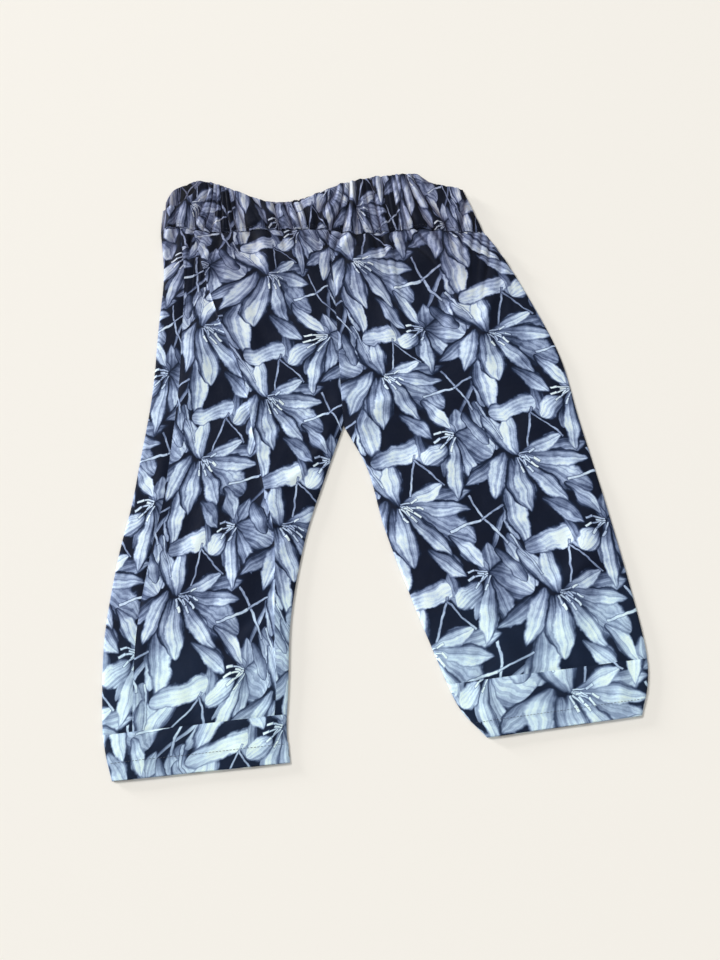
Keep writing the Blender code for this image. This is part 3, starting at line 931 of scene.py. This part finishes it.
def make_front_leg(leg, material):
    table, side_is_left, strips = LEGS[leg]
    hem_seam = HEM_SEAMS[leg]
    rows = rows_round(hem_seam)
    shares, parts = front_columns(strips, rows)
    grid = leg_grid(table, side_is_left, shares, rows, front_height, True, 0.0)
    x, y, z, cloth_x, cloth_y, from_side, from_inner, v = grid

    below = seam_edge(x) - y
    z = close_edges(table, z, from_side, from_inner, v)
    z += dip((v - hem_seam) * SHARE_LENGTH, HEM_SEAM_DIP, FINE_SEAM_WIDTH)
    z = meet_waist_seam(x, z, below, from_side)
    above_band = smooth((v - hem_seam) / HEM_BAND_FADE)
    for _, _, edge in strips[:-1]:
        away = from_side - np.interp(v, rows, curve(edge, rows)) * (from_side + from_inner)
        if edge is PLEAT:
            z += above_band * pleat_height(away, y)
        else:
            z += above_band * dip(away, SIDE_SEAM_DIP, FINE_SEAM_WIDTH)

    # The cloth that the waist seam draws in, and that its gathers hide.
    within = np.maximum(below, 0)
    drawn = bell(within, TOP_REACH, DRAW_POWER)
    gathered = pucker_fade(x, within)
    cloth_x = cloth_x + drawn * LEG_FULLNESS * (x - inner_x(table))
    cloth_x = cloth_x + gathered * gather_draw(x, -below, SEAM_FULLNESS)
    ripple = np.sin(x / RIPPLE_LENGTH + RIPPLE_PHASE)
    cloth_y = cloth_y + TOP_EASE * drawn + TOP_RIPPLE * drawn * ripple
    # Painted shade in the valleys of the gathers under the waist seam.
    painted_shade = gathered * painted_valley_shade(x, -within)

    parts = with_hem_band(parts, v, leg, f"{leg}_hem")
    *grid, painted_shade = left_to_right(side_is_left, x, y, z, cloth_x, cloth_y, parts, painted_shade)
    return make_cloth(f"front_{leg}_leg_cloth", *grid, True, material, painted_shade)


def make_back_leg(leg, material):
    table, side_is_left, _ = LEGS[leg]
    shares = spaced(BACK_COLUMNS, NEAR_BACK_EDGE, NEAR_BACK_EDGE)
    rows = rows_round(HEM_SEAMS[leg])
    grid = leg_grid(table, side_is_left, shares, rows, back_height, False, BACK_INSET)
    parts = with_hem_band(f"back_{leg}", grid[-1], leg, f"back_{leg}_hem")
    grid = left_to_right(side_is_left, *grid[:5])
    return make_cloth(f"back_{leg}_leg_cloth", *grid, parts, False, material)


# ---------------------------------------------------------------------------------------
# The waistband.

BAND_ROWS = 26
BAND_STEPS = 420
NEAR_BAND_EDGE = (0.02,)
NEAR_BAND_END = (0.0010, 0.0024)


def band_grid(top, gather, level, facing_up, inset):
    """Points of a waistband half, folded over at its top edge and closed at the seam."""
    t = spaced(BAND_STEPS, NEAR_BAND_END, NEAR_BAND_END)
    first, last = WAIST_SEAM[0][0] + inset, WAIST_SEAM[-1][0] - inset
    seam_x = between(first, last, t)
    seam = np.stack([seam_x, seam_edge(seam_x) + GAP / 2], -1)
    head = curve(top, place_on(WAIST_SEAM, seam_x))
    head[:, 1] += TOP_WANDER * (gathers(seam_x) - 0.5)
    up = head - seam
    length = np.linalg.norm(up, axis=1)
    up /= length[:, None]
    outer = spaced(BAND_ROWS, NEAR_BAND_EDGE, NEAR_BAND_EDGE)
    turn = np.linspace(0, math.pi, TURN_STEPS + 1)[1:-1]
    reach = np.concatenate([outer[:, None] * (length - FOLD_RADIUS),
                            length - FOLD_RADIUS + FOLD_RADIUS * np.sin(turn)[:, None],
                            outer[::-2, None] * (length - FOLD_RADIUS)])
    drop = np.concatenate([np.zeros(len(outer)), 1 - np.cos(turn), np.full(len(outer[::-2]), 2.0)])
    inner = len(outer) + len(turn)
    travel = reach.copy()
    travel[inner:] = 2 * length - reach[inner:]
    x = seam[:, 0] + up[:, 0] * reach
    y = seam[:, 1] + up[:, 1] * reach
    cloth_x = seam[:, 0] + up[:, 0] * travel
    cloth_y = seam[:, 1] + up[:, 1] * travel
    flattening = 1 - TOP_FLATTENING * np.clip(reach / length, 0, 1) ** 3
    cloth_x = cloth_x + (BAND_FULLNESS - 1) * (x - inner_x(RIGHT_LEG))
    cloth_x = cloth_x + gather_draw(x, reach, BAND_FULLNESS - 1)
    z = level + gather * gathers(x, reach) * flattening
    z -= drop[:, None] * FOLD_RADIUS * (1 if facing_up else -1)
    ends = np.minimum(seam_x - WAIST_SEAM[0][0], WAIST_SEAM[-1][0] - seam_x)
    return x, y, z, cloth_x, cloth_y, reach, np.broadcast_to(ends, x.shape), drop[:, None]


def make_front_band(material):
    x, y, z, cloth_x, cloth_y, reach, ends, drop = band_grid(
        FRONT_TOP, BAND_GATHER, BAND_LEVEL, True, 0.0)
    z += BAND_SWELL * swell_height(x, y)
    z = between(seam_level(x), z, smooth(reach / BAND_RISE))
    end_height = between(BAND_END_HEIGHT, 1, smooth(ends / BAND_RISE))
    z = between(EDGE_LEVEL, z, end_height) + LAYER_SPREAD * (1 - drop)
    z += dip(reach, *BAND_GROOVE)
    z += dip(reach - CASING_LINE, *STITCH_GROOVE)
    # The gathers' valleys get painted shade.
    return make_cloth("front_waistband_cloth", x, y, z, cloth_x, cloth_y, "front_band", True,
                      material, painted_valley_shade(x, reach))


def make_back_band(material):
    x, y, z, cloth_x, cloth_y, reach, ends, drop = band_grid(
        BACK_TOP, BACK_BAND_GATHER, 0.0, False, BACK_BAND_INSET)
    rise = smooth(ends / BACK_END_RISE) * smooth(reach / BACK_BAND_RISE)
    z = between(drop * FOLD_RADIUS, z, rise)
    # Painted shade: darker in the gathers' valleys, and on the band's inside as in a valley.
    painted_shade = painted_valley_shade(x, reach)
    painted_shade = between(painted_shade, np.maximum(painted_shade, INSIDE_PAINTED_SHADE), drop / 2)
    return make_cloth("back_waistband_cloth", x, y, np.maximum(z, 0), cloth_x, cloth_y,
                      "back_band", False, material, painted_shade)


# ---------------------------------------------------------------------------------------
# Stitches.

STITCH = 0.0026               # length of a stitch
STITCH_GAP = 0.0009
FIRST_STITCH = 0.001          # from the line's start
THREAD = 0.00022              # the thread's radius
# Rings along a stitch: share of its length, and radius and lift in the thread's radii.
STITCH_RINGS = ((0.0, 0.35, -0.5), (0.15, 0.9, 0.3), (0.5, 1.0, 0.7), (0.85, 0.9, 0.3),
                (1.0, 0.35, -0.5))
RING_POINTS = 6
OVERHEAD = 0.1                # well above the garment
HEM_STITCH_IN = 0.0015        # from the turned-up edge to its stitches
HEM_END = 0.012               # share of a hem's width without stitches at each end
CASING_END = 0.003
HEM_LINE_POINTS, CASING_LINE_POINTS = 200, 900


def surface_under(piece):
    """A function that gives the height of a piece's upper side at a place."""
    tree = BVHTree.FromObject(piece, bpy.context.evaluated_depsgraph_get())

    def height(x, y):
        spot = tree.ray_cast(Vector((x, y, OVERHEAD)), Vector((0, 0, -1)))[0]
        return None if spot is None else spot.z
    return height


def stitch_points(places, levels):
    """The points of one stitch, from the place and the cloth's level at each ring."""
    along = np.subtract(places[-1], places[0])
    aside = np.array([-along[1], along[0]]) / np.linalg.norm(along)
    points = []
    for (x, y), level, (_, radius, lift) in zip(places, levels, STITCH_RINGS):
        radius *= THREAD
        for i in range(RING_POINTS):
            turn = 2 * math.pi * i / RING_POINTS
            reach = radius * math.cos(turn)
            points.append((x + aside[0] * reach, y + aside[1] * reach,
                           level + lift * THREAD + radius * math.sin(turn)))
    return points


def stitch_faces(first):
    """The sides and the two ends of a stitch, from the number of its first point."""
    faces = []
    last = first + (len(STITCH_RINGS) - 1) * RING_POINTS
    for ring in range(first, last, RING_POINTS):
        for i in range(RING_POINTS):
            after = (i + 1) % RING_POINTS
            faces.append((ring + i, ring + RING_POINTS + i,
                          ring + RING_POINTS + after, ring + after))
    faces.append(tuple(range(first, first + RING_POINTS)))
    faces.append(tuple(reversed(range(last, last + RING_POINTS))))
    return faces


def make_stitches(name, line, piece, material):
    """A row of stitches along a line of places, each one lying on the cloth under it."""
    height = surface_under(piece)
    steps = np.hypot(*np.diff(line, axis=0).T)
    travel = np.concatenate([[0], np.cumsum(steps)])
    points, faces = [], []
    for start in np.arange(FIRST_STITCH, travel[-1] - STITCH, STITCH + STITCH_GAP):
        along = [start + share * STITCH for share, _, _ in STITCH_RINGS]
        places = [[np.interp(at, travel, line[:, i]) for i in (0, 1)] for at in along]
        levels = [height(x, y) for x, y in places]
        if None not in levels:
            faces += stitch_faces(len(points))
            points += stitch_points(places, levels)
    return new_piece(name, points, faces, material)


def hem_line(table):
    """Where a hem's stitches run, across the leg."""
    section = np.linalg.norm(np.subtract(table[1][1:3], table[0][1:3]))
    up = (HEM_DEPTH - HEM_STITCH_IN) / section
    side, inner = leg_edges(table, np.full(1, up / (len(table) - 1)))
    return between(side, inner, np.linspace(HEM_END, 1 - HEM_END, HEM_LINE_POINTS)[:, None])


def casing_line():
    """Where the casing's stitches run, just above the waist seam."""
    first, last = WAIST_SEAM[0][0] + CASING_END, WAIST_SEAM[-1][0] - CASING_END
    x = np.linspace(first, last, CASING_LINE_POINTS)
    seam = np.stack([x, seam_edge(x)], -1)
    up = curve(FRONT_TOP, place_on(WAIST_SEAM, x)) - seam
    return seam + up / np.linalg.norm(up, axis=1)[:, None] * CASING_LINE


# ---------------------------------------------------------------------------------------
# Nodes.


def feed(tree, socket, value):
    """Gives a socket a value or a link; None leaves its default."""
    if isinstance(value, bpy.types.NodeSocket):
        tree.links.new(value, socket)
    elif value is not None:
        socket.default_value = value


def add(tree, kind, *inputs, named=None, **settings):
    """A node with its settings, and its inputs in order or by their names or numbers."""
    made = tree.nodes.new(kind)
    for name, value in settings.items():
        setattr(made, name, value)
    for socket, value in zip(made.inputs, inputs):
        feed(tree, socket, value)
    for name, value in (named or {}).items():
        feed(tree, made.inputs[name], value)
    return made


def maths(tree, operation, *inputs):
    return add(tree, "ShaderNodeMath", *inputs, operation=operation).outputs[0]


def vector_maths(tree, operation, *inputs, output=0):
    return add(tree, "ShaderNodeVectorMath", *inputs, operation=operation).outputs[output]


def ramp(tree, value, from_low, from_high, to_low=0.0, to_high=1.0, kind="SMOOTHSTEP"):
    made = add(tree, "ShaderNodeMapRange", interpolation_type=kind, named={
        "Value": value, "From Min": from_low, "From Max": from_high,
        "To Min": to_low, "To Max": to_high})
    return made.outputs["Result"]


def float_curve(tree, value, points):
    made = add(tree, "ShaderNodeFloatCurve", 1.0, value)
    line = made.mapping.curves[0]
    while len(line.points) < len(points):
        line.points.new(0.5, 0.5)
    for point, place in zip(line.points, points):
        point.location = place
        point.handle_type = "AUTO_CLAMPED"
    made.mapping.update()
    return made.outputs[0]


# A Mix node's sockets go by number below, because several have the same name.


def mix_numbers(tree, share, low, high):
    made = add(tree, "ShaderNodeMix", data_type="FLOAT", named={0: share, 2: low, 3: high})
    return made.outputs[0]


def tint(tree, share, colour, by):
    """A colour multiplied by another one, for a share of the whole effect."""
    made = add(tree, "ShaderNodeMix", data_type="RGBA", blend_type="MULTIPLY",
               named={0: share, 6: colour, 7: by})
    return made.outputs[2]


def noise(tree, vector, scale, detail, roughness=0.5, output="Fac"):
    made = add(tree, "ShaderNodeTexNoise", noise_dimensions="2D", named={
        "Vector": vector, "Scale": scale, "Detail": detail, "Roughness": roughness})
    return made.outputs[output]


def scaled_noise(tree, vector, settings, factor, base):
    return maths(tree, "MULTIPLY_ADD", noise(tree, vector, *settings), factor, base)


def linear(colour):
    """An sRGB colour of 0 to 255 as the linear one that a socket holds."""
    shares = [part / 255 for part in colour]
    return tuple(s / 12.92 if s < 0.04045 else ((s + 0.055) / 1.055) ** 2.4 for s in shares)


def colour_ramp(tree, value, stops):
    made = add(tree, "ShaderNodeValToRGB", value)
    elements = made.color_ramp.elements
    while len(elements) < len(stops):
        elements.new(0.5)
    for element, (place, colour) in zip(elements, stops):
        element.position = place
        element.color = (*linear(colour), 1.0)
    return made.outputs[0]


def new_material(name):
    """A material and its empty tree."""
    material = bpy.data.materials.new(name)
    material.use_nodes = True
    material.node_tree.nodes.clear()
    return material, material.node_tree


def end_material(tree, **inputs):
    """The Principled shader of a material, with inputs by name, and its output."""
    named = {name.replace("_", " "): value for name, value in inputs.items()}
    shader = add(tree, "ShaderNodeBsdfPrincipled", named=named)
    add(tree, "ShaderNodeOutputMaterial", shader.outputs[0])


# ---------------------------------------------------------------------------------------
# The print's shader.

PETAL_TONE = 0.83
MIDRIB_WIDTH = 0.04           # a share of the petal's width
VEIN_SWERVE, SWERVE_RATE = 1.9, 5              # what makes its veins uneven
FINER_VEINS, FINER_RATE, FINER_PHASE = 0.45, 2.37, 1
STREAKS = ((0.09, 2 * math.pi * 1.7, 0.6), (0.05, 15, 2))      # size, rate and phase
CURVE_POINTS = 61
VEIN_SPREAD = 0.62            # how much of the whole curve a petal's width takes
RIM_SHADE = (RIM - 0.07, RIM + 0.13, 0.50)     # where a petal is darker, and its tone there
STROKE_COVER = (1.9, 0.9)     # a stroke's soft edge, in half widths
STROKE_SHADE = (1.2, 0.7, 0.35)                # where it is darker, and its tone there
LIFT = 0.25                   # the third coordinate, which carries a petal's own start
SWAY = (0.034, 0.038, 0.0)    # how far one copy of the print may differ from the next
WOBBLE = (0.010, 0.011, 0.0)  # how far the thin stems and stamens stray from straight
CONTRAST = ((0, 0), (0.2, 0.09), (0.4, 0.32), (0.6, 0.60), (0.8, 0.86), (1, 1))
GROUND_TONE = 0.02

# Noise over the cloth: scale, detail and, if it isn't 0.5, roughness.
SWAY_NOISE, TREMOR_NOISE = (38, 1.0), (130, 1.0)
FRILL_NOISE, WAVER_NOISE = (50, 3.0, 0.62), (30, 1.0)
BLOTCH_NOISE, BROAD_NOISE = (55, 4.0, 0.62), (21, 1.0)
PATCH_NOISE, SLUB_NOISE, CRUMPLE_NOISE = (9, 1.0), (900, 1.0), (55, 3.0)
# What the noise is multiplied by, and what is added to that.
RUFFLE, WAVER, FRILL_WAVER = (0.60, 0.70), (0.30, 0.26), 0.18
BLOTCHES, BROAD_TONE, PATCHES = (1.05, 0.505), (0.70, 0.65), (0.16, -0.08)


def vein_curve(kind):
    """A petal's tone from one edge to the other: uneven veins, a midrib, a lit side."""
    turns, depth, midrib, side = VEINS[kind]
    points = []
    for x in np.linspace(0, 1, CURVE_POINTS):
        veins = math.cos(2 * math.pi * turns * x + VEIN_SWERVE * math.sin(SWERVE_RATE * x))
        veins += FINER_VEINS * math.cos(2 * math.pi * FINER_RATE * turns * x + FINER_PHASE)
        middle = math.exp(-((x - 0.5) / MIDRIB_WIDTH) ** 2)
        streaks = sum(size * math.cos(rate * x + phase) for size, rate, phase in STREAKS)
        tone = PETAL_TONE + streaks + depth * veins + side * (0.5 - x) - midrib * middle
        points.append((x, min(max(tone, 0.0), 1.0)))
    return points


def new_group(name, *numbers):
    """A group that lays a petal or a stroke, and what its nodes start from.

    That is its inputs, and how far along and across itself its nearest copy is met.
    """
    group = bpy.data.node_groups.new(name, "ShaderNodeTree")
    for names, kind in ((("Under", "Brightness", *numbers), "NodeSocketFloat"),
                        (("Place", "Middle", "Along", "Across"), "NodeSocketVector")):
        for socket in names:
            group.interface.new_socket(name=socket, in_out="INPUT", socket_type=kind)
    group.interface.new_socket(name="Tone", in_out="OUTPUT", socket_type="NodeSocketFloat")
    put = add(group, "NodeGroupInput").outputs
    away = vector_maths(group, "SUBTRACT", put["Place"], put["Middle"])
    near = vector_maths(group, "WRAP", away, (0.5, 0.5, 0.5), (-0.5, -0.5, -0.5))
    along = vector_maths(group, "DOT_PRODUCT", near, put["Along"], output=1)
    across = vector_maths(group, "DOT_PRODUCT", near, put["Across"], output=1)
    return group, put, along, across


def end_group(group, put, cover, tone):
    """Lays a tone over what is under it, as far as it covers that."""
    add(group, "NodeGroupOutput", mix_numbers(group, cover, put["Under"], tone))
    return group


def petal_group(kind):
    group, put, along, across = new_group(f"lily_{kind}", "Ruffle", "Waver", "Bend")
    square = maths(group, "MULTIPLY", along, along)
    across = maths(group, "MULTIPLY_ADD", square, put["Bend"], across)
    width = maths(group, "MULTIPLY", float_curve(group, along, WIDTHS[kind]), put["Ruffle"])
    inside = maths(group, "SUBTRACT", width, maths(group, "ABSOLUTE", across))
    cover = ramp(group, inside, RIM - SHADE, RIM)
    lit = ramp(group, inside, *RIM_SHADE)
    spot = maths(group, "DIVIDE", across, width)
    spot = maths(group, "MULTIPLY_ADD", spot, VEIN_SPREAD, put["Waver"])
    tone = maths(group, "MULTIPLY", float_curve(group, spot, vein_curve(kind)),
                 float_curve(group, along, GLOW[kind]))
    tone = maths(group, "MULTIPLY", maths(group, "MULTIPLY", tone, put["Brightness"]), lit)
    return end_group(group, put, cover, tone)


def stroke_group():
    group, put, along, across = new_group("lily_stroke", "Slimness", "End")
    end = maths(group, "MULTIPLY_ADD", maths(group, "ABSOLUTE", along), put["Slimness"], put["End"])
    away = maths(group, "MAXIMUM", maths(group, "ABSOLUTE", across), end)
    cover = ramp(group, away, *STROKE_COVER)
    lit = ramp(group, away, *STROKE_SHADE)
    return end_group(group, put, cover, maths(group, "MULTIPLY", lit, put["Brightness"]))


def lay(tree, group, middle, angle, length, half, start=0.0, **inputs):
    """Lays a petal or a stroke by its group, and gives the tone with it on top.

    Its middle, its length and half its width are in the print's millimetres.  The group
    takes them in repeats, and adds start to how far along itself it is met.
    """
    steps = np.array([REPEAT_UP, REPEAT_ACROSS])
    middle = np.linalg.inv(steps.T) @ np.array(middle)
    along = steps @ (math.cos(angle), math.sin(angle)) / length
    across = steps @ (-math.sin(angle), math.cos(angle)) / half
    made = add(tree, "ShaderNodeGroup", node_tree=group, named={
        "Middle": (*middle, 0.0), "Along": (*along, start / LIFT), "Across": (*across, 0.0),
        **inputs})
    return made.outputs["Tone"]


def lay_petal(tree, groups, row, under, place, ruffle, waver):
    kind, x, y, angle, length, width, bend, tone = row
    angle = math.radians(angle)
    half = SLIM * width / 2 / (1 - RIM)
    middle = (x + length / 2 * math.cos(angle), y + length / 2 * math.sin(angle))
    return lay(tree, groups[kind], middle, angle, length, half, start=0.5, Under=under,
               Place=place, Ruffle=ruffle, Waver=waver, Bend=-bend / half, Brightness=tone)


def lay_stroke(tree, group, row, under, place):
    x0, y0, x1, y1, width, tone = row
    length = math.hypot(x1 - x0, y1 - y0)
    slimness = 2 * length / width
    return lay(tree, group, ((x0 + x1) / 2, (y0 + y1) / 2), math.atan2(y1 - y0, x1 - x0),
               length, width / 2, Under=under, Place=place, Slimness=slimness,
               End=1 - slimness / 2, Brightness=tone)


def draw_print(tree, cloth):
    """The print's tone at each place of the cloth, from dark ground to bright petal."""
    repeat = add(tree, "ShaderNodeUVMap", uv_map="repeat").outputs[0]
    sway = noise(tree, cloth, *SWAY_NOISE, output="Color")
    place = vector_maths(tree, "MULTIPLY_ADD", sway, SWAY, repeat)
    place = vector_maths(tree, "ADD", place, (-SWAY[0] / 2, -SWAY[1] / 2, LIFT))
    frill = noise(tree, cloth, *FRILL_NOISE)
    ruffle = maths(tree, "MULTIPLY_ADD", frill, *RUFFLE)
    waver = scaled_noise(tree, cloth, WAVER_NOISE, *WAVER)
    waver = maths(tree, "MULTIPLY_ADD", frill, FRILL_WAVER, waver)
    groups = {kind: petal_group(kind) for kind in WIDTHS}
    tone = GROUND_TONE
    for row in PETALS:
        tone = lay_petal(tree, groups, row, tone, place, ruffle, waver)
    strokes = stroke_group()
    tremor = noise(tree, cloth, *TREMOR_NOISE, output="Color")
    place = vector_maths(tree, "MULTIPLY_ADD", tremor, WOBBLE, place)
    place = vector_maths(tree, "SUBTRACT", place, tuple(size / 2 for size in WOBBLE))
    for row in STROKES:
        tone = lay_stroke(tree, strokes, row, tone, place)
    light = scaled_noise(tree, cloth, BLOTCH_NOISE, *BLOTCHES)
    broad = scaled_noise(tree, cloth, BROAD_NOISE, *BROAD_TONE)
    tone = maths(tree, "MULTIPLY", maths(tree, "MULTIPLY", tone, light), broad)
    return float_curve(tree, tone, CONTRAST)


WEAVE_PITCH = 0.0007          # from one yarn to the next
GRAIN, GRAIN_BASE = 0.16, 0.76        # how far yarns and slubs each lighten it, from what
# Heights over which the cloth is painted paler and greyer, as painted light and painted shade, and
# the tints there and of the painted shade in gathers.
PAINTED_HEM_LIGHT, PAINTED_WAIST_SHADE = (-0.205, -0.275), (0.05, 0.30)
PAINTED_HEM_LIGHT_POWER = 0.58
PAINTED_HEM_LIGHT_TINT, PAINTED_WAIST_SHADE_TINT = (1.02, 1.08, 1.02, 1), (0.80, 0.73, 0.76, 1)
GATHER_PAINTED_SHADE = (0.27, 0.25, 0.29, 1)


def weave(tree, cloth):
    """A plain weave's height: yarns over and under each other."""
    turns = vector_maths(tree, "SCALE", cloth, None, None, math.pi / WEAVE_PITCH)
    split = add(tree, "ShaderNodeSeparateXYZ", turns).outputs
    warp = maths(tree, "SINE", split[0])
    weft = maths(tree, "SINE", split[1])
    return maths(tree, "MULTIPLY_ADD", maths(tree, "MULTIPLY", warp, weft), 0.5, 0.5)


def bump(tree, height, strength, distance, normal=None):
    return add(tree, "ShaderNodeBump", named={
        "Height": height, "Strength": strength, "Distance": distance, "Normal": normal}).outputs[0]


def cloth_material(name):
    """Printed plain-weave cloth, a little crumpled."""
    material, tree = new_material(name)
    cloth = add(tree, "ShaderNodeUVMap", uv_map="cloth").outputs[0]
    tone = draw_print(tree, cloth)

    # Painted light and shade: the legs are paler towards the hems and greyer towards the waist.
    spot = add(tree, "ShaderNodeTexCoord").outputs["Object"]
    height = add(tree, "ShaderNodeSeparateXYZ", spot).outputs[1]
    height = maths(tree, "ADD", height, scaled_noise(tree, cloth, PATCH_NOISE, *PATCHES))
    painted_hem_light = ramp(tree, height, *PAINTED_HEM_LIGHT)
    painted_waist_shade = ramp(tree, height, *PAINTED_WAIST_SHADE)
    tone = mix_numbers(tree, painted_hem_light, tone, maths(tree, "POWER", tone, PAINTED_HEM_LIGHT_POWER))
    colour = colour_ramp(tree, tone, INKS)
    colour = tint(tree, painted_hem_light, colour, PAINTED_HEM_LIGHT_TINT)
    colour = tint(tree, painted_waist_shade, colour, PAINTED_WAIST_SHADE_TINT)
    # Painted shade: darkest in the gathers' valleys and on the inside of the waistband.
    gather = add(tree, "ShaderNodeUVMap", uv_map="gather").outputs[0]
    depth = add(tree, "ShaderNodeSeparateXYZ", gather).outputs[0]
    colour = tint(tree, depth, colour, GATHER_PAINTED_SHADE)

    yarns = weave(tree, cloth)
    slub = noise(tree, cloth, *SLUB_NOISE)
    grain = maths(tree, "MULTIPLY_ADD", slub, GRAIN, GRAIN_BASE)
    grain = maths(tree, "MULTIPLY_ADD", yarns, GRAIN, grain)
    colour = tint(tree, 1.0, colour, grain)

    crumple = noise(tree, cloth, *CRUMPLE_NOISE)
    soft = bump(tree, crumple, strength=0.55, distance=0.0012)
    fine = bump(tree, maths(tree, "ADD", yarns, slub), strength=0.35, distance=0.00012, normal=soft)
    roughness = ramp(tree, crumple, 0.2, 0.8, to_low=0.72, to_high=0.88, kind="LINEAR")
    end_material(tree, Base_Color=colour, Roughness=roughness, Normal=fine,
                 Specular_IOR_Level=0.14, Sheen_Weight=0.04, Sheen_Roughness=0.45,
                 Sheen_Tint=(0.78, 0.86, 1.0, 1.0))
    return material


def thread_material():
    """Dark sewing thread with its twist."""
    material, tree = new_material("sewing_thread")
    spot = add(tree, "ShaderNodeTexCoord").outputs["Object"]
    twist = add(tree, "ShaderNodeTexWave", bands_direction="DIAGONAL", named={
        "Vector": spot, "Scale": 2600.0, "Distortion": 1.5}).outputs["Fac"]
    colour = colour_ramp(tree, twist, ((0, (17, 22, 36)), (1, (44, 54, 80))))
    normal = bump(tree, twist, strength=0.5, distance=0.0001)
    roughness = ramp(tree, twist, 0, 1, to_low=0.5, to_high=0.66)
    end_material(tree, Base_Color=colour, Roughness=roughness, Normal=normal, Sheen_Weight=0.2)
    return material


# ---------------------------------------------------------------------------------------
# The stage.

FLOOR_HALF = 6.0
FLOOR_LEVEL = -0.0002         # just below the cloth
FLOOR_COLOUR = (243, 240, 233)
# Lights: name, place, what each points at, width, power and colour.
DAYLIGHT = (1.0, 0.985, 0.97)
LIGHTS = (
    ("key", (-18.4, 14.8, 16.8), (0, 0, 0), 9.0, 6350, DAYLIGHT),
    ("low_window", (-24.0, 19.0, 3.3), (0, 0, 0), 4.4, 9300, DAYLIGHT),
    ("fill", (2.4, -3.2, 4.4), (0, -0.1, 0), 4.0, 30, (0.95, 0.98, 1.0)),
)
ROOM_COLOUR, ROOM_STRENGTH = (1.0, 0.995, 0.985, 1), 0.42
CAMERA_PLACE = (-0.0515, -0.5894, 1.1202)
CAMERA_TILT, CAMERA_TURN = 25, -6.58           # degrees
LENS, SENSOR_WIDTH = 41.25, 36                 # millimetres
NEAREST = 0.05                # from the camera to the nearest thing that it shows


def make_floor():
    material, tree = new_material("floor_paint")
    end_material(tree, Base_Color=(*linear(FLOOR_COLOUR), 1), Roughness=0.9,
                 Specular_IOR_Level=0.1)
    corners = [(x * FLOOR_HALF, y * FLOOR_HALF, 0) for x, y in ((-1, -1), (1, -1), (1, 1), (-1, 1))]
    floor = new_piece("floor", corners, [(0, 1, 2, 3)], material)
    floor.location.z = FLOOR_LEVEL


def make_light(name, location, target, size, power, colour):
    light = bpy.data.lights.new(name, "AREA")
    light.shape = "DISK"
    light.size = size
    light.energy = power
    light.color = colour
    lamp = new_object(name, light, location)
    aim = np.array(target) - np.array(location)
    lamp.rotation_euler = Vector(aim).to_track_quat("-Z", "Y").to_euler()


def make_lights():
    for light in LIGHTS:
        make_light(*light)
    world = bpy.data.worlds.new("studio")
    world.use_nodes = True
    shade = world.node_tree.nodes["Background"]
    shade.inputs["Color"].default_value = ROOM_COLOUR
    shade.inputs["Strength"].default_value = ROOM_STRENGTH
    bpy.context.scene.world = world


def make_camera():
    """The photo's view: tilted off vertical from the hems' side, and slightly turned."""
    camera = bpy.data.cameras.new("camera")
    camera.lens = LENS
    camera.sensor_width = SENSOR_WIDTH
    camera.clip_start = NEAREST
    holder = new_object("camera", camera, CAMERA_PLACE)
    holder.rotation_euler = (math.radians(CAMERA_TILT), 0, math.radians(CAMERA_TURN))
    bpy.context.scene.camera = holder
    bpy.context.scene.view_settings.view_transform = "Standard"
    bpy.context.scene.view_settings.look = "None"


# ---------------------------------------------------------------------------------------
# Putting it together.

# Each leg's flat size and area of cloth, and the waistband halves'.
LEG_CLOTH = {"right": ((0.30, 0.72), 0.165), "left": ((0.30, 0.70), 0.175)}
BAND_CLOTH = ((0.58, 0.12), 0.0695)


def declare_cloth(piece, node, slot, flat, area, rests_on):
    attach(piece, "root")
    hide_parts(node)


make_camera()
make_floor()
make_lights()

lily_cloth = cloth_material("lily_print")
thread = thread_material()
fronts = {leg: make_front_leg(leg, lily_cloth) for leg in LEGS}
backs = {leg: make_back_leg(leg, lily_cloth) for leg in LEGS}
front_band = make_front_band(lily_cloth)
back_band = make_back_band(lily_cloth)

for leg, piece in backs.items():
    declare_cloth(piece, f"back_{leg}_leg", "leg_cloth", *LEG_CLOTH[leg], "floor")
for leg, piece in fronts.items():
    declare_cloth(piece, f"front_{leg}_leg", "leg_cloth", *LEG_CLOTH[leg], backs[leg].name)
declare_cloth(back_band, "back_waistband", "waistband_cloth", *BAND_CLOTH, "floor")
declare_cloth(front_band, "front_waistband", "waistband_cloth", *BAND_CLOTH, back_band.name)

bpy.context.view_layer.update()
stitches = [make_stitches("casing_stitches", casing_line(), front_band, thread)]
for leg, piece in fronts.items():
    stitches.append(make_stitches(f"{leg}_hem_stitches", hem_line(LEGS[leg][0]), piece, thread))
for row in stitches:
    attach(row, "root")
